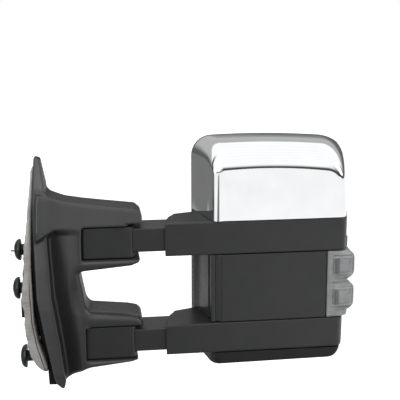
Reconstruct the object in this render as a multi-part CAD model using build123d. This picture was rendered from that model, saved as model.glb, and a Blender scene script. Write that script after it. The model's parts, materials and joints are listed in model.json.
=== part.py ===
from build123d import *
from functools import cache
import os

# Left-hand telescoping tow mirror for a pickup door.
# +X points outboard from the door, +Y to the rear of the vehicle, +Z up. Millimetres.
# The model is drawn from the arm datum and moved by DATUM at export, so that the origin of
# the exported parts is on the middle mounting stud's axis, half way along its free end.
# A pair called ..._Z is (lowest, highest) Z; spans along other axes read the same way.

# ---- mounting studs ---------------------------------------------------------
# y, z, x of the frame boss datum, x of the tip, x of the nut's door face, x of the nut's neck end
STUDS = [
    (0.0, 22.9, 32.0, -4.0, 1.5, 22.5),
    (0.0, -38.0, 32.0, -4.0, 1.5, 22.5),
    (0.0, -149.5, 46.0, 4.5, 10.0, 36.5),
]
FREE_END_GAP = 0.5      # the free end stops this far short of the nut
STUD_Y, STUD_Z, _, STUD_TIP, STUD_NUT, _ = STUDS[1]
DATUM = (-(STUD_TIP + STUD_NUT - FREE_END_GAP) / 2, -STUD_Y, -STUD_Z)

# ---- fold hinge -------------------------------------------------------------
FOLD_X = 142.0          # the vertical fold axis stands at Y = 0
PIN_R = 8.0
PIN_BORE_R = 4.5        # hollow pin, the wires pass through it
PIN_GAP = 0.05          # radial running clearance of the pin in its knuckle
UPPER_KNUCKLE_Z = (11.0, 59.5)
LOWER_KNUCKLE_Z = (-149.5, -98.0)
UPPER_PIN_Z = (-3.0, 80.0)
LOWER_PIN_Z = (-156.0, -83.0)
KNUCKLE_R = 47.5        # the knuckle's inboard end is round about the axis
KNUCKLE_X1 = 184.0      # its outboard end
KNUCKLE_HALF = 31.0     # half its depth
KNUCKLE_WELL = 27.0     # depth of the spring well in its top
POCKET_R = 51.0         # the hinge pocket's back wall is a cylinder about the axis
EAR_GAP = 0.5
EAR_HALF = 37.5

# ---- telescoping arms -------------------------------------------------------
UPPER_SLEEVE_Z = (12.0, 64.0)       # sleeve and band
LOWER_SLEEVE_Z = (-147.0, -98.0)
# name, knuckle span, sleeve span, tube height
ARMS = [
    ("upper", UPPER_KNUCKLE_Z, UPPER_SLEEVE_Z, 38.0),
    ("lower", LOWER_KNUCKLE_Z, LOWER_SLEEVE_Z, 37.0),
]
TUBE_HALF = 29.0        # half the tube's depth
TUBE_T = 3.2
TUBE_X = (163.0, 346.0)
RIVET_X = 176.0
RIVET_YS = (-14.0, 14.0)
RIVET_R = 3.0
SLEEVE_X = 230.0        # inboard end of the sleeves, arms drawn out 46 mm
GUIDE_X = 396.0         # outboard end of the guide channels inside the head
SLEEVE_T = 3.5
SLEEVE_BORE_HALF = 31.5
BAND_Y = -35.0          # front face of the bands

# ---- head -------------------------------------------------------------------
WALL = 3.0
SEAM_Y = 68.0           # the front covers stop here and the bezel begins
RIM_Y = 80.0            # rear rim of the bezel
SEAM = 0.7              # gap between neighbouring covers
PANEL_INSET = 1.4       # the middle panel sits this far behind the bands
SIDE_INSET = 1.2        # the same for the side housing and the lens
SHELL_T = 2.6           # thickness of panel, side housing and lens
CAP_Z = 65.0            # lower edge of the bright cap
PANEL_Z = (-97.3, 11.3)
BOTTOM_Z = -147.7       # upper edge of the bottom cover
LENS_X = 485.0          # inboard edge of the marker lens
CARRIER_Y = (37.0, 40.0)

# ---- glass ------------------------------------------------------------------
UPPER_GLASS = (300.0, 526.0, -33.5, 167.5)      # x0, x1, z0, z1
LOWER_GLASS = (295.5, 471.0, -152.5, -57.0)
UPPER_SLOPE = 6.0       # the outboard top corner is drawn in and down by this much
TILT_Y = 60.0
UPPER_TILT = (413.0, 68.0)                      # tilt centres, x, z
LOWER_TILT = (383.0, -104.5)
LUG_IN, LUG_OUT = 12.0, 16.5    # the tilt lugs stand this far either side of the centre
GLASS_Y = 72.5                  # rear face of the glass
GLASS_FRONT = GLASS_Y - 2.4
HOLDER_FRONT = GLASS_FRONT - 3.2
TILT_PLUNGER = (UPPER_TILT[0], UPPER_TILT[1] + 42.0)    # x, z
TURN_PLUNGER = (UPPER_TILT[0] + 46.0, UPPER_TILT[1])
PLUNGERS = (TILT_PLUNGER, TURN_PLUNGER)
PLUNGER_HOLE_R = 5.2
BALL_Y = 60.3


# ================================================================= helpers
def block(x0, x1, y0, y1, z0, z1):
    centre = Pos((x0 + x1) / 2, (y0 + y1) / 2, (z0 + z1) / 2)
    return centre * Box(x1 - x0, y1 - y0, z1 - z0)


def rod_x(y, z, x0, x1, radius):
    return Pos((x0 + x1) / 2, y, z) * Rot(0, 90, 0) * Cylinder(radius, x1 - x0)


def rod_y(x, z, y0, y1, radius):
    return Pos(x, (y0 + y1) / 2, z) * Rot(90, 0, 0) * Cylinder(radius, y1 - y0)


def rod_z(x, y, z0, z1, radius):
    return Pos(x, y, (z0 + z1) / 2) * Cylinder(radius, z1 - z0)


def prism_x(points, x0, x1):
    """Side-view polygon of (y, z) points, from x0 to x1."""
    return extrude(Plane.YZ.offset(x0) * Polygon(*points, align=None), x1 - x0, dir=(1, 0, 0))


def prism_y(points, y0, y1):
    """Front-view polygon of (x, z) points, from y0 to y1."""
    return extrude(Plane.XZ.offset(-y1) * Polygon(*points, align=None), y1 - y0, dir=(0, -1, 0))


def prism_z(points, z0, z1):
    """Plan polygon of (x, y) points, from z0 to z1."""
    return extrude(Plane.XY.offset(z0) * Polygon(*points, align=None), z1 - z0, dir=(0, 0, 1))


def soften(shape, radius, pick=lambda s: s.edges()):
    """Rounds the picked edges, and leaves them sharp if no radius works."""
    for trial in (radius, radius * 0.6, radius * 0.3):
        # The kernel may refuse a fillet that is too large; the next trial is smaller.
        try:
            edges = pick(shape)
            if len(edges) == 0:
                return shape
            rounded = fillet(edges, trial)
            if rounded.is_valid and len(rounded.solids()) == len(shape.solids()):
                return rounded
        except Exception:
            pass
    return shape


def along(axis):
    """Picker for the edges parallel to an axis."""
    return lambda s: s.edges().filter_by(axis)


def upright_edges(part):
    """Picker for a slice of the upright edges, sorted from inboard to outboard."""
    return lambda s: s.edges().filter_by(Axis.Z).sort_by(Axis.X)[part]


def rear_edges(s):
    return s.faces().sort_by(Axis.Y)[-1].edges()


def group(solids):
    return solids[0] if len(solids) == 1 else Compound(solids)


def real_solids(shape):
    """The shape's solids without boolean crumbs."""
    solids = shape if isinstance(shape, list) else shape.solids()
    return [s for s in solids if s.volume > 1.0]


def clean(shape):
    return group(real_solids(shape))


def save(shape, name):
    solids = shape if isinstance(shape, list) else real_solids(shape)
    export_step(group([Pos(*DATUM) * s for s in solids]), f"parts/{name}.step")


os.makedirs("parts", exist_ok=True)

# ================================================================= head body
# Sections of the head's outer skin: y, x0, x1, top z, bottom z, corner radii
# (inboard bottom, inboard top, outboard top, outboard bottom)
SECTIONS = [
    (-35.0, 313.0, 506.0, 145.0, -162.0, (7, 9, 22, 12)),
    (-33.6, 307.0, 511.0, 153.0, -165.6, (9, 14, 29, 15)),
    (-30.0, 303.0, 514.5, 160.5, -167.8, (11, 19, 35, 18)),
    (-22.0, 300.0, 518.0, 169.5, -169.2, (13, 24, 41, 21)),
    (-8.0, 297.5, 522.5, 178.0, -170.3, (16, 28, 45, 24)),
    (12.0, 293.3, 529.0, 183.2, -171.0, (19, 31, 48, 26)),
    (40.0, 287.4, 538.0, 185.4, -171.6, (23, 33, 50, 29)),
    (67.0, 282.2, 546.0, 186.0, -172.0, (27, 34, 52, 32)),
    (80.0, 282.2, 546.0, 186.0, -172.0, (27, 34, 52, 32)),
]


def section_face(y, x0, x1, z_top, z_bottom, radii, inset=0.0):
    """One closed section of the head at depth y, with arched top and outboard side."""
    x0 += inset
    x1 -= inset
    z_top -= inset
    z_bottom += inset
    corners = [
        (x0, z_bottom),
        (x0 + 1.5, z_top - 3.0),
        (x1 - 6.0, z_top - 9.0),
        (x1 - 8.0, z_bottom + 2.0),
    ]
    in_low, in_high, out_high, out_low = corners
    face = make_face([
        Line(in_low, in_high),
        ThreePointArc(in_high, (x0 * 0.62 + x1 * 0.38, z_top), out_high),
        ThreePointArc(out_high, (x1, 8.0), out_low),
        Line(out_low, in_low),
    ])
    for (x, z), radius in zip(corners, radii):
        nearest = face.vertices().sort_by(lambda v: (v.X - x) ** 2 + (v.Y - z) ** 2)[0]
        face = fillet(nearest, radius - inset)
    return Plane.XZ.offset(-y) * face


@cache
def skin(inset):
    """The head's outer form, moved inwards by inset."""
    faces = []
    for y, *section in SECTIONS:
        shift = inset if y < -20 else inset * 0.5 if y < 0 else 0
        faces.append(section_face(y + shift, *section, inset))
    return loft(faces)


def rim_prism(y, inset, depth):
    """The rearmost section, run rearwards from y."""
    return extrude(section_face(y, *SECTIONS[-1][1:], inset), depth, dir=(0, 1, 0))


head_inner = skin(WALL) + rim_prism(RIM_Y - 0.1, WALL, 10)
head_wall = skin(0.0) - head_inner


def slice_of(shell, z0, z1, y0=-100.0, y1=SEAM_Y, x1=1000.0):
    return shell & block(0.0, x1, y0, y1, z0, z1)


save(slice_of(head_wall, CAP_Z, 400), "chrome_cap")
save(slice_of(head_wall, -400, BOTTOM_Z), "bottom_cover")

GUIDE_REAR = 35.0
# x, y
SLEEVE_PLAN = [
    (SLEEVE_X, BAND_Y), (SLEEVE_X + 3, -6), (SLEEVE_X + 9, 16), (SLEEVE_X + 17, 30),
    (SLEEVE_X + 18, GUIDE_REAR), (286.5, 50), (304, 50), (312, BAND_Y),
]


def band_sleeve(z0, z1):
    """A band round the front of the head, with the arm sleeve and its guide channel."""
    ring = slice_of(head_wall, z0, z1)
    sleeve = soften(
        prism_z(SLEEVE_PLAN, z0, z1), 2.2,
        lambda s: s.edges().filter_by(Plane.XY).filter_by(lambda e: e.center().X < 300))
    guide = block(296, GUIDE_X, BAND_Y + 0.2, GUIDE_REAR, z0 + 0.5, z1 - 0.5)
    bore = block(SLEEVE_X - 20, GUIDE_X + 5, -SLEEVE_BORE_HALF, SLEEVE_BORE_HALF,
                 z0 + SLEEVE_T, z1 - SLEEVE_T)
    return clean(ring + sleeve + guide - bore)


def front_panel():
    """Middle panel between the bands."""
    shell = skin(PANEL_INSET) - skin(PANEL_INSET + SHELL_T)
    return slice_of(shell, *PANEL_Z, y1=-9.0, x1=LENS_X - SEAM)


save(front_panel(), "front_panel")


def carrier_plate():
    """Cross wall behind the arms, with its round and square cut-outs."""
    carrier = soften(block(299, 530, *CARRIER_Y, -140, 150), 12, along(Axis.Y))
    # x, z, radius
    for x, z, radius in [(*UPPER_TILT, 24), (*LOWER_TILT, 12), (500, -70, 9), (500, 20, 9)]:
        carrier = carrier - rod_y(x, z, 30, 45, radius)
    for x, z in [(340, 130), (486, 130)]:
        carrier = carrier - block(x - 20, x + 20, 30, 45, z - 12, z + 10)
    return carrier


def inner_housing():
    """Inboard and outboard walls between the bands, and the cross wall behind the arms."""
    shell = skin(SIDE_INSET) - skin(SIDE_INSET + SHELL_T)
    side = slice_of(shell, *PANEL_Z, y0=-19.2)
    side = side - block(400, 600, -60, 30.6, -200, 200) - block(270, 400, -60, -8.0, -200, 200)
    cross_strip = block(270, 560, *CARRIER_Y, PANEL_Z[0] + 0.5, PANEL_Z[1] - 0.5)
    side = side + (carrier_plate() & head_inner) + (cross_strip & skin(2.3))
    for z0, z1 in (UPPER_SLEEVE_Z, LOWER_SLEEVE_Z):
        side = side - block(270, 306, 30, 60, z0 - 0.6, z1 + 0.6)
    for x, z in PLUNGERS:
        side = side - rod_y(x, z, 30, 45, PLUNGER_HOLE_R)
    return side


save(inner_housing(), "inner_housing")


def glass_form(x0, x1, z0, z1, radius, y0, y1, slope=0.0):
    """Rounded four-sided plate from y0 to y1, its top edge falling outboard by the slope."""
    corners = [(x0, z0), (x0 + slope * 0.3, z1), (x1 - slope, z1 - slope), (x1, z0)]
    sketch = make_face([Line(a, b) for a, b in zip(corners, corners[1:] + corners[:1])])
    sketch = fillet(sketch.vertices(), radius)
    return extrude(Plane.XZ.offset(-y1) * sketch, y1 - y0, dir=(0, -1, 0))


def glass_bezel():
    """Rear bezel round both glasses, with the skirt that the covers snap over."""
    x0, x1, z0, z1 = UPPER_GLASS
    upper_open = glass_form(x0 - 7.5, x1 + 7.5, z0 - 7.0, z1 + 8.0, 24, 60, 90, UPPER_SLOPE)
    x0, _, z0, z1 = LOWER_GLASS
    lower_open = glass_form(x0 - 5.0, 533.0, z0 - 5.0, z1 + 4.0, 20, 60, 90)

    def opening_edges(s):
        return s.edges().filter_by(
            lambda e: abs(e.center().Y - RIM_Y) < 0.01
            and 284 < e.center().X < 543 and -170 < e.center().Z < 183)

    rim = soften(rim_prism(SEAM_Y + SEAM, 0.0, RIM_Y - SEAM_Y - SEAM), 4.0, rear_edges)
    bezel = soften(rim - upper_open - lower_open, 1.6, opening_edges)
    skirt_inside = rim_prism(51.0, WALL + 3.3, 30.0)
    skirt = (rim_prism(52.0, WALL + 1.3, 17.0) - skirt_inside) & skin(WALL + 0.5)
    bezel = bezel + skirt + (rim_prism(66.0, WALL + 1.3, 3.2) - skirt_inside)
    return clean(bezel - upper_open - lower_open)


save(glass_bezel(), "glass_bezel")


def blank_cover():
    """Plain cover beside the lower glass, with a square peg towards the carrier."""
    z0, z1 = LOWER_GLASS[2:]
    blank = glass_form(477.0, 532.0, z0 - 4.0, z1 + 3.0, 19.5, 66.0, 71.0)
    blank = soften(blank, 1.6, rear_edges)
    return blank + block(496, 512, 40.2, 66.2, -112, -96)


save(blank_cover(), "blank_cover")

# ---------------------------------------------------------------- marker lamp
LENS_Z0, LENS_Z1 = PANEL_Z[0] + 0.2, PANEL_Z[1] - 0.2
BULB_ZS = (-22.0, -74.5)
BULB_X, BULB_Y, BULB_R = 506.0, -8.0, 4.0
# x, y of the reflector tray's outside and inside
TRAY_PLAN = [
    (LENS_X + 3.5, -24.0), (LENS_X + 15, -24.0), (LENS_X + 22.5, -20.0),
    (LENS_X + 26.6, -11.0), (LENS_X + 32.6, 4.0), (LENS_X + 39, 24.0), (LENS_X + 3.5, 24.0),
]
TRAY_HOLLOW = [
    (LENS_X + 5.1, -22.4), (LENS_X + 14.5, -22.4), (LENS_X + 21.2, -18.9),
    (LENS_X + 25.1, -10.5), (LENS_X + 31.0, 4.4), (LENS_X + 39.3, 30.0), (LENS_X + 5.1, 30.0),
]


def lens_zone(x_margin, y1, z_margin):
    return block(LENS_X + x_margin, 600, -60, y1, LENS_Z0 + z_margin, LENS_Z1 - z_margin)


def bulge(z, inset=0.0):
    """A rounded lamp bulge on the outboard front corner, centred at height z."""
    width = 46.0 - 2 * inset
    body = Pos(513.0, -6.0, z) * Box(width, width, 40.0 - 2 * inset)
    return soften(body, 14.0 - inset * 0.5)


def marker_lens():
    solid = skin(SIDE_INSET) & lens_zone(0.0, 29.0, 0.0)
    for z in BULB_ZS:
        solid = solid + (bulge(z) & lens_zone(2, 28.0, 1))
    void = skin(SIDE_INSET + SHELL_T) & lens_zone(2.0, 60, 2.0)
    for z in BULB_ZS:
        void = void + (bulge(z, 2.0) & lens_zone(4, 60, 3))
    return clean(solid - void)


def marker_reflector():
    """Tray behind the lens, with a slanting round hole for each bulb."""
    tray = prism_z(TRAY_PLAN, LENS_Z0 + 5.0, LENS_Z1 - 5.0)
    tray = tray - prism_z(TRAY_HOLLOW, LENS_Z0 + 6.6, LENS_Z1 - 6.6)
    for z in BULB_ZS:
        tray = tray - (Pos(512.0, -8.0, z) * Rot(90, 0, -38) * Cylinder(8.2, 60))
    return tray


def marker_bulb(z):
    bulb = rod_y(BULB_X, z, BULB_Y, 4.9, BULB_R) + Pos(BULB_X, BULB_Y, z) * Sphere(BULB_R)
    return bulb.solids()[0]


save(marker_lens(), "marker_lens")
save(marker_reflector(), "marker_reflector")
save(block(LENS_X + 6.5, LENS_X + 30.4, 5.0, 7.0, LENS_Z0 + 9, LENS_Z1 - 9), "marker_board")
save([marker_bulb(z) for z in BULB_ZS], "marker_bulbs")


# ================================================================= arm body
def slide_bushes(z0, z1, tube_h):
    """Two rectangular rings between the sleeve's bore and the tube."""
    mid_z = (z0 + z1) / 2
    outer_y = SLEEVE_BORE_HALF - 0.1
    outer_z = (z1 - z0) / 2 - SLEEVE_T - 0.1
    inner_y = TUBE_HALF + 0.25
    inner_z = tube_h / 2 + 0.25
    bushes = []
    for x0, x1 in ((249.0, 262.0), (275.0, 288.0)):
        ring = block(x0, x1, -outer_y, outer_y, mid_z - outer_z, mid_z + outer_z)
        ring = ring - block(x0 - 5, x1 + 5, -inner_y, inner_y, mid_z - inner_z, mid_z + inner_z)
        bushes.append(ring.solids()[0])
    return bushes


def knuckle(z0, z1, tube_z, tube_h):
    """Arm root that turns on the hinge pin and takes the tube in its outboard end."""
    body = block(FOLD_X, KNUCKLE_X1, -KNUCKLE_HALF, KNUCKLE_HALF, z0, z1)
    body = body + (rod_z(FOLD_X, 0, z0, z1, KNUCKLE_R)
                   & block(FOLD_X - 60, FOLD_X + 1, -KNUCKLE_HALF, KNUCKLE_HALF, z0, z1))
    body = soften(body, 6.0, upright_edges(slice(-2, None)))
    body = soften(body, 2.5, upright_edges(slice(2)))
    body = soften(body, 1.4, along(Plane.XY))
    body = body - rod_z(FOLD_X, 0, z0 - 5, z1 + 5, PIN_R + PIN_GAP)
    body = body - rod_z(FOLD_X, 0, z1 - KNUCKLE_WELL, z1 + 5, 18.0)
    half_y, half_z = TUBE_HALF + 0.1, tube_h / 2 + 0.1
    body = body - block(TUBE_X[0] - 0.2, KNUCKLE_X1 + 5, -half_y, half_y,
                        tube_z - half_z, tube_z + half_z)
    body = body - block(104, 118, -22, 22, z0 + 6, z1 - 6)
    for y in RIVET_YS:
        body = body - rod_z(RIVET_X, y, z0 - 5, z1 + 5, RIVET_R)
    return body


def inner_tube(z, height):
    x0, x1 = TUBE_X
    outside = soften(block(x0, x1, -TUBE_HALF, TUBE_HALF, z - height / 2, z + height / 2),
                     3.0, along(Axis.X))
    half_y, half_z = TUBE_HALF - TUBE_T, height / 2 - TUBE_T
    tube = outside - block(x0 - 5, x1 + 5, -half_y, half_y, z - half_z, z + half_z)
    for y in RIVET_YS:
        tube = tube - rod_z(RIVET_X, y, z - height, z + height, RIVET_R)
    return tube


def end_stop(z, tube_h):
    """Plug in the tube's outboard end, with a friction pad that rubs inside the guide."""
    end = TUBE_X[1]
    half_y, half_z = TUBE_HALF - TUBE_T - 0.2, tube_h / 2 - TUBE_T - 0.2
    plug = block(end - 14, end, -half_y, half_y, z - half_z, z + half_z)
    pad_z = tube_h / 2 + 2.0
    pad = block(end + 0.1, end + 5, -30.8, 30.8, z - pad_z, z + pad_z)
    pad = soften(pad, 2.0, along(Axis.X))
    neck = block(end - 4, end + 3, -12, 12, z - 8, z + 8)
    return plug + pad + neck - rod_x(0, z, end - 20, end + 20, 5.0)


def tube_rivets(z, tube_h, z0, z1):
    """Blind rivets through the knuckle's walls and the tube's walls."""
    head_r, head_t, sunk = 4.6, 2.4, 0.4
    inside_top = z + tube_h / 2 - TUBE_T
    inside_bottom = z - tube_h / 2 + TUBE_T
    rivets = []
    for y in RIVET_YS:
        top = (rod_z(RIVET_X, y, inside_top - head_t, z1 - sunk, RIVET_R)
               + rod_z(RIVET_X, y, inside_top - head_t, inside_top, head_r))
        bottom = (rod_z(RIVET_X, y, z0 + sunk, inside_bottom + head_t, RIVET_R)
                  + rod_z(RIVET_X, y, inside_bottom, inside_bottom + head_t, head_r))
        rivets += [top.solids()[0], bottom.solids()[0]]
    return rivets


for name, knuckle_z, sleeve_z, tube_h in ARMS:
    # The tubes are centred in the sleeves, a little off the knuckles' middles.
    tube_z = sum(sleeve_z) / 2
    save(band_sleeve(*sleeve_z), f"{name}_band_sleeve")
    save(slide_bushes(*sleeve_z, tube_h), f"{name}_slide_bushes")
    save(knuckle(*knuckle_z, tube_z, tube_h), f"{name}_knuckle")
    save(inner_tube(tube_z, tube_h), f"{name}_inner_tube")
    save(end_stop(tube_z, tube_h), f"{name}_end_stop")
    save(tube_rivets(tube_z, tube_h, *knuckle_z), f"{name}_tube_rivets")

# ================================================================= base body
UPPER_POCKET_Z = (UPPER_KNUCKLE_Z[0] - EAR_GAP, UPPER_KNUCKLE_Z[1] + EAR_GAP)
LOWER_POCKET_Z = (LOWER_KNUCKLE_Z[0] - EAR_GAP, LOWER_KNUCKLE_Z[1] + EAR_GAP)
# Frame screws: y, z, x of the cover boss
SCREWS = [(-28.0, 10.0, 29.0), (38.0, 30.0, 29.0), (-30.0, -110.0, 38.4), (38.0, -110.0, 38.4)]
SCREW_R = 2.4
STUD_R = 3.0            # free end
SHANK_R = 3.5           # threaded shank
SHANK_HOLE_R = SHANK_R + 0.05
WIRE_YZ = (26, -8)      # wiring hole

# Hinge ears from top to bottom, front view: x, z
EAR_OUTLINES = [
    [(44, 108), (56, 103), (80, 96.5), (133, 90), (184, 84), (191, 78),
     (192.5, UPPER_POCKET_Z[1]), (84, UPPER_POCKET_Z[1]), (44, UPPER_POCKET_Z[1])],
    [(46, UPPER_POCKET_Z[0]), (192, UPPER_POCKET_Z[0]), (188, 2.5), (178, -0.5), (104, -7),
     (84, -14), (46, -26)],
    [(60, -54), (108, -68), (118, -72.5), (174, -77.5), (187, -81), (193, -87),
     (194.5, LOWER_POCKET_Z[1]), (60, LOWER_POCKET_Z[1])],
    [(60, LOWER_POCKET_Z[0]), (187, LOWER_POCKET_Z[0]), (184, -152.5), (176, -155),
     (104, -163), (82, -175), (66, -187), (60, -186)],
]
# Cover: plan of the post (x, y), front view of the plate (x, z), side view of it (y, z)
POST_PLAN = [(44, -48), (54, -50), (80, -37), (100, -28), (107, -12), (107, 12), (100, 28),
             (80, 40), (54, 56), (44, 60)]
PLATE_FRONT = [(36, 161), (46, 158), (50.5, 99), (52, 44), (55, -44), (62, -112), (73, -175),
               (70, -187), (61, -178), (47, -103), (38, -43), (35, 44), (34, 100)]
PLATE_SIDE = [(24, 166), (46, 166), (63, 60), (67, -60), (64, -150), (46, -190), (-50, -190),
              (-60, -165), (-57, -60), (-50, 40), (-30, 95)]
# Its hollow back: front view (x, z), side view (y, z), plan inside the post (x, y)
HOLLOW_FRONT = [(20, 150), (39, 150), (41, 60), (43, -60), (52, -110), (66, -170), (20, -170)]
HOLLOW_SIDE = [(28, 152), (40, 152), (55, 55), (58, -60), (54, -150), (40, -178), (-42, -178),
               (-50, -160), (-48, -60), (-40, 40), (-20, 88)]
HOLLOW_PLAN = [(30, -34), (52, -38), (76, -26), (82, -10), (82, 10), (76, 28), (52, 42), (30, 46)]
# Frame: front view (x, z), side view (y, z), plan of the rib and its hollow (x, y), foot (x, z)
FRAME_FRONT = [(29, 140), (37, 140), (38, 60), (40, -60), (48, -110), (60, -160), (53, -163),
               (40, -112), (31, -60), (29, 60)]
FRAME_SIDE = [(30, 148), (38, 148), (52, 55), (55, -60), (51, -148), (38, -166), (-38, -166),
              (-46, -150), (-45, -60), (-37, 40), (-18, 84)]
RIB_PLAN = [(31, -16), (78, -9), (78, 9), (31, 16)]
RIB_HOLLOW = [(28, -11), (73, -5.5), (73, 5.5), (28, 11)]
FOOT_FRONT = [(46, -150), (55, -150), (60, -170), (60.4, -182), (48.5, -181.5), (47.5, -160)]
# Pad: front view (x, z), side view and upper window (y, z)
PAD_X = 15.0            # door face of the pad
PAD_FRONT = [
    (31, 148), (29.5, 141), (25.5, 98), (18, 40), (PAD_X + 0.6, 22), (PAD_X, -20),
    (PAD_X - 2, -52), (PAD_X - 1.5, -66), (PAD_X + 1, -74), (18, -118), (22, -140), (36, -163),
    (44, -168), (47, -160), (33, -112), (28.8, -60), (28.3, 60), (32.5, 146),
]
PAD_SIDE = [(30, 150), (40, 150), (56, 55), (59, -60), (55, -152), (40, -172), (-40, -172),
            (-50, -155), (-50, -60), (-43, 40), (-22, 92)]
PAD_WINDOW = [(14, 122), (36, 126), (44, 60), (-22, 60), (-10, 92)]


def base_cover():
    """Door cover with its post, four hinge ears and hollow back."""
    cover = prism_y(PLATE_FRONT, -66, 70) & prism_x(PLATE_SIDE, 20, 90)
    cover = cover + prism_z(POST_PLAN, -160, 96)
    for outline in EAR_OUTLINES:
        ear = prism_y(outline, -EAR_HALF, EAR_HALF)
        cover = cover + soften(ear, 9.0, upright_edges(slice(-2, None)))
    for z0, z1 in (UPPER_POCKET_Z, LOWER_POCKET_Z):
        cover = cover - rod_z(FOLD_X, 0, z0, z1, POCKET_R)
        cover = cover - block(FOLD_X, 260, -60, 60, z0, z1)
    # relief under the top ear, so that the drawn-in sleeve clears it as the head folds
    relief = block(FOLD_X - 20, 260, -60, 60, UPPER_POCKET_Z[1] - 1, UPPER_SLEEVE_Z[1] + 1.2)
    cover = cover - (relief - rod_z(FOLD_X, 0, 40, 90, 44.0))
    hollow = prism_y(HOLLOW_FRONT, -40, 52) & prism_x(HOLLOW_SIDE, 10, 90)
    cover = cover - (hollow + prism_z(HOLLOW_PLAN, -152, 88))
    cover = cover - rod_z(FOLD_X, 0, -200, 120, PIN_R)
    for y, z, x in SCREWS:
        cover = cover - rod_x(y, z, 20, x + 12.0, SCREW_R)
    return clean(cover)


def base_frame(cover):
    """Die-cast frame behind the cover, with stud bosses and a wiring hole."""
    frame = prism_y(FRAME_FRONT, -38, 50) & prism_x(FRAME_SIDE, 10, 90)
    frame = frame + (prism_z(RIB_PLAN, -147, 84) - prism_z(RIB_HOLLOW, -160, 100))
    for y, z, boss_x, *_ in STUDS:
        frame = frame + rod_x(y, z, boss_x - 9, boss_x + 8, 9.0)
    frame = frame - rod_x(*WIRE_YZ, 10, 60, 10.0)
    for y, z, boss_x, *_ in STUDS:
        frame = frame - rod_x(y, z, boss_x - 20, boss_x + 3, SHANK_HOLE_R)
    for y, z, x in SCREWS:
        frame = frame - rod_x(y, z, 10, 60, SCREW_R + 0.2) - rod_x(y, z, 10, x, 5.4)
    frame = frame + prism_y(FOOT_FRONT, -43, -31)
    return clean(frame - cover)


def door_pad(cover, frame):
    """Foam pad that seals to the door."""
    pad = prism_y(PAD_FRONT, -44, 54) & prism_x(PAD_SIDE, 0, 90)
    pad = pad - prism_x(PAD_WINDOW, 0, 90)
    for y, z, *_ in STUDS:
        pad = pad - rod_x(y, z, -10, 60, 9.6)
    pad = pad - rod_x(*WIRE_YZ, 0, 60, 11.0)
    # channel for the cable and its plug
    pad = pad - block(0, 20.4, 19.5, 40, -120, -6)
    for y, z, _ in SCREWS:
        pad = pad - rod_x(y, z, 0, 60, 6.0)
    pad = pad - cover - frame
    return sorted(pad.solids(), key=lambda s: -s.volume)[0]


cover = base_cover()
frame = base_frame(cover)
save(cover, "base_cover")
save(frame, "base_frame")
save(door_pad(cover, frame), "door_pad")


def mounting_stud(y, z, boss_x, tip, nut_x, _):
    stud = (rod_x(y, z, tip, nut_x - FREE_END_GAP, STUD_R)
            + rod_x(y, z, tip + 2, nut_x + 1, STUD_R - 0.6)
            + rod_x(y, z, nut_x, boss_x + 3, SHANK_R))
    return stud.solids()[0]


def hand_nut(y, z, _boss_x, _tip, nut_x, neck_x):
    """Round disc with a neck on its outboard side."""
    disc_end = nut_x + 10.0
    nut = soften(rod_x(y, z, nut_x, disc_end, 17.0), 6.0,
                 lambda s: s.edges().filter_by(GeomType.CIRCLE).sort_by(Axis.X)[:1])
    nut = nut + rod_x(y, z, disc_end - 1, neck_x, 8.5)
    nut = nut - rod_x(y, z, -20, 60, SHANK_HOLE_R)
    return nut.solids()[0]


def frame_screw(y, z, x):
    """Screw that holds the frame to one of the cover's bosses."""
    screw = rod_x(y, z, x - 3.2, x - 0.2, 5.0) + rod_x(y, z, x - 0.5, x + 11.0, SCREW_R)
    return screw.solids()[0]


save([mounting_stud(*row) for row in STUDS], "mounting_studs")
save([hand_nut(*row) for row in STUDS], "stud_hand_nuts")
save([frame_screw(*row) for row in SCREWS], "frame_screws")


# ---------------------------------------------------------------- hinge pins
def hinge_pin(z0, z1):
    return rod_z(FOLD_X, 0, z0, z1, PIN_R) - rod_z(FOLD_X, 0, z0 - 5, z1 + 5, PIN_BORE_R)


def spring_washer(top):
    """Flat ring at the foot of the spring well of a knuckle whose top is given."""
    ring = rod_z(FOLD_X, 0, top - 26.8, top - 24.3, 17.0)
    return ring - rod_z(FOLD_X, 0, top - 40, top, PIN_R + 0.3)


def detent_spring(top):
    z0, z1 = top - 24.2, top - 0.6
    coil_r, wire_r, turns = 13.2, 1.9, 3.5
    height = z1 - z0 - 2 * wire_r
    path = Pos(FOLD_X, 0, z0 + wire_r) * Helix(height / turns, height, coil_r)
    return sweep(Plane(origin=path @ 0, z_dir=path % 0) * Circle(wire_r), path)


for name, (_, top), pin_z in (("upper", UPPER_KNUCKLE_Z, UPPER_PIN_Z),
                              ("lower", LOWER_KNUCKLE_Z, LOWER_PIN_Z)):
    save(hinge_pin(*pin_z), f"{name}_hinge_pin")
    save(spring_washer(top), f"{name}_spring_washer")
    save(detent_spring(top), f"{name}_detent_spring")

# ---------------------------------------------------------------- wiring
CABLE_POINTS = [(60, 24, -8), (34, 26, -8), (23, 26, -8.6), (15, 27, -16), (12.5, 29, -32),
                (12.5, 30, -48), (12.5, 30, -64)]
CABLE_R = 3.5


def wire_grommet():
    grommet = rod_x(*WIRE_YZ, 24, 41.5, 9.8) + rod_x(*WIRE_YZ, 27.4, 28.6, 10.9)
    return grommet - rod_x(*WIRE_YZ, 0, 80, 5.0)


def wire_cable():
    path = Spline(*CABLE_POINTS)
    return sweep(Plane(origin=path @ 0, z_dir=path % 0) * Circle(CABLE_R), path)


def wire_plug():
    plug = soften(block(5.5, 19.5, 20.5, 39, -94, -63), 1.6)
    plug = plug - block(8, 17, 23, 36.5, -97, -77)
    return plug - rod_z(12.5, 30, -68, -55, CABLE_R + 0.2)


save(wire_grommet(), "wire_grommet")
save(wire_cable(), "wire_cable")
save(wire_plug(), "wire_plug")

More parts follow.
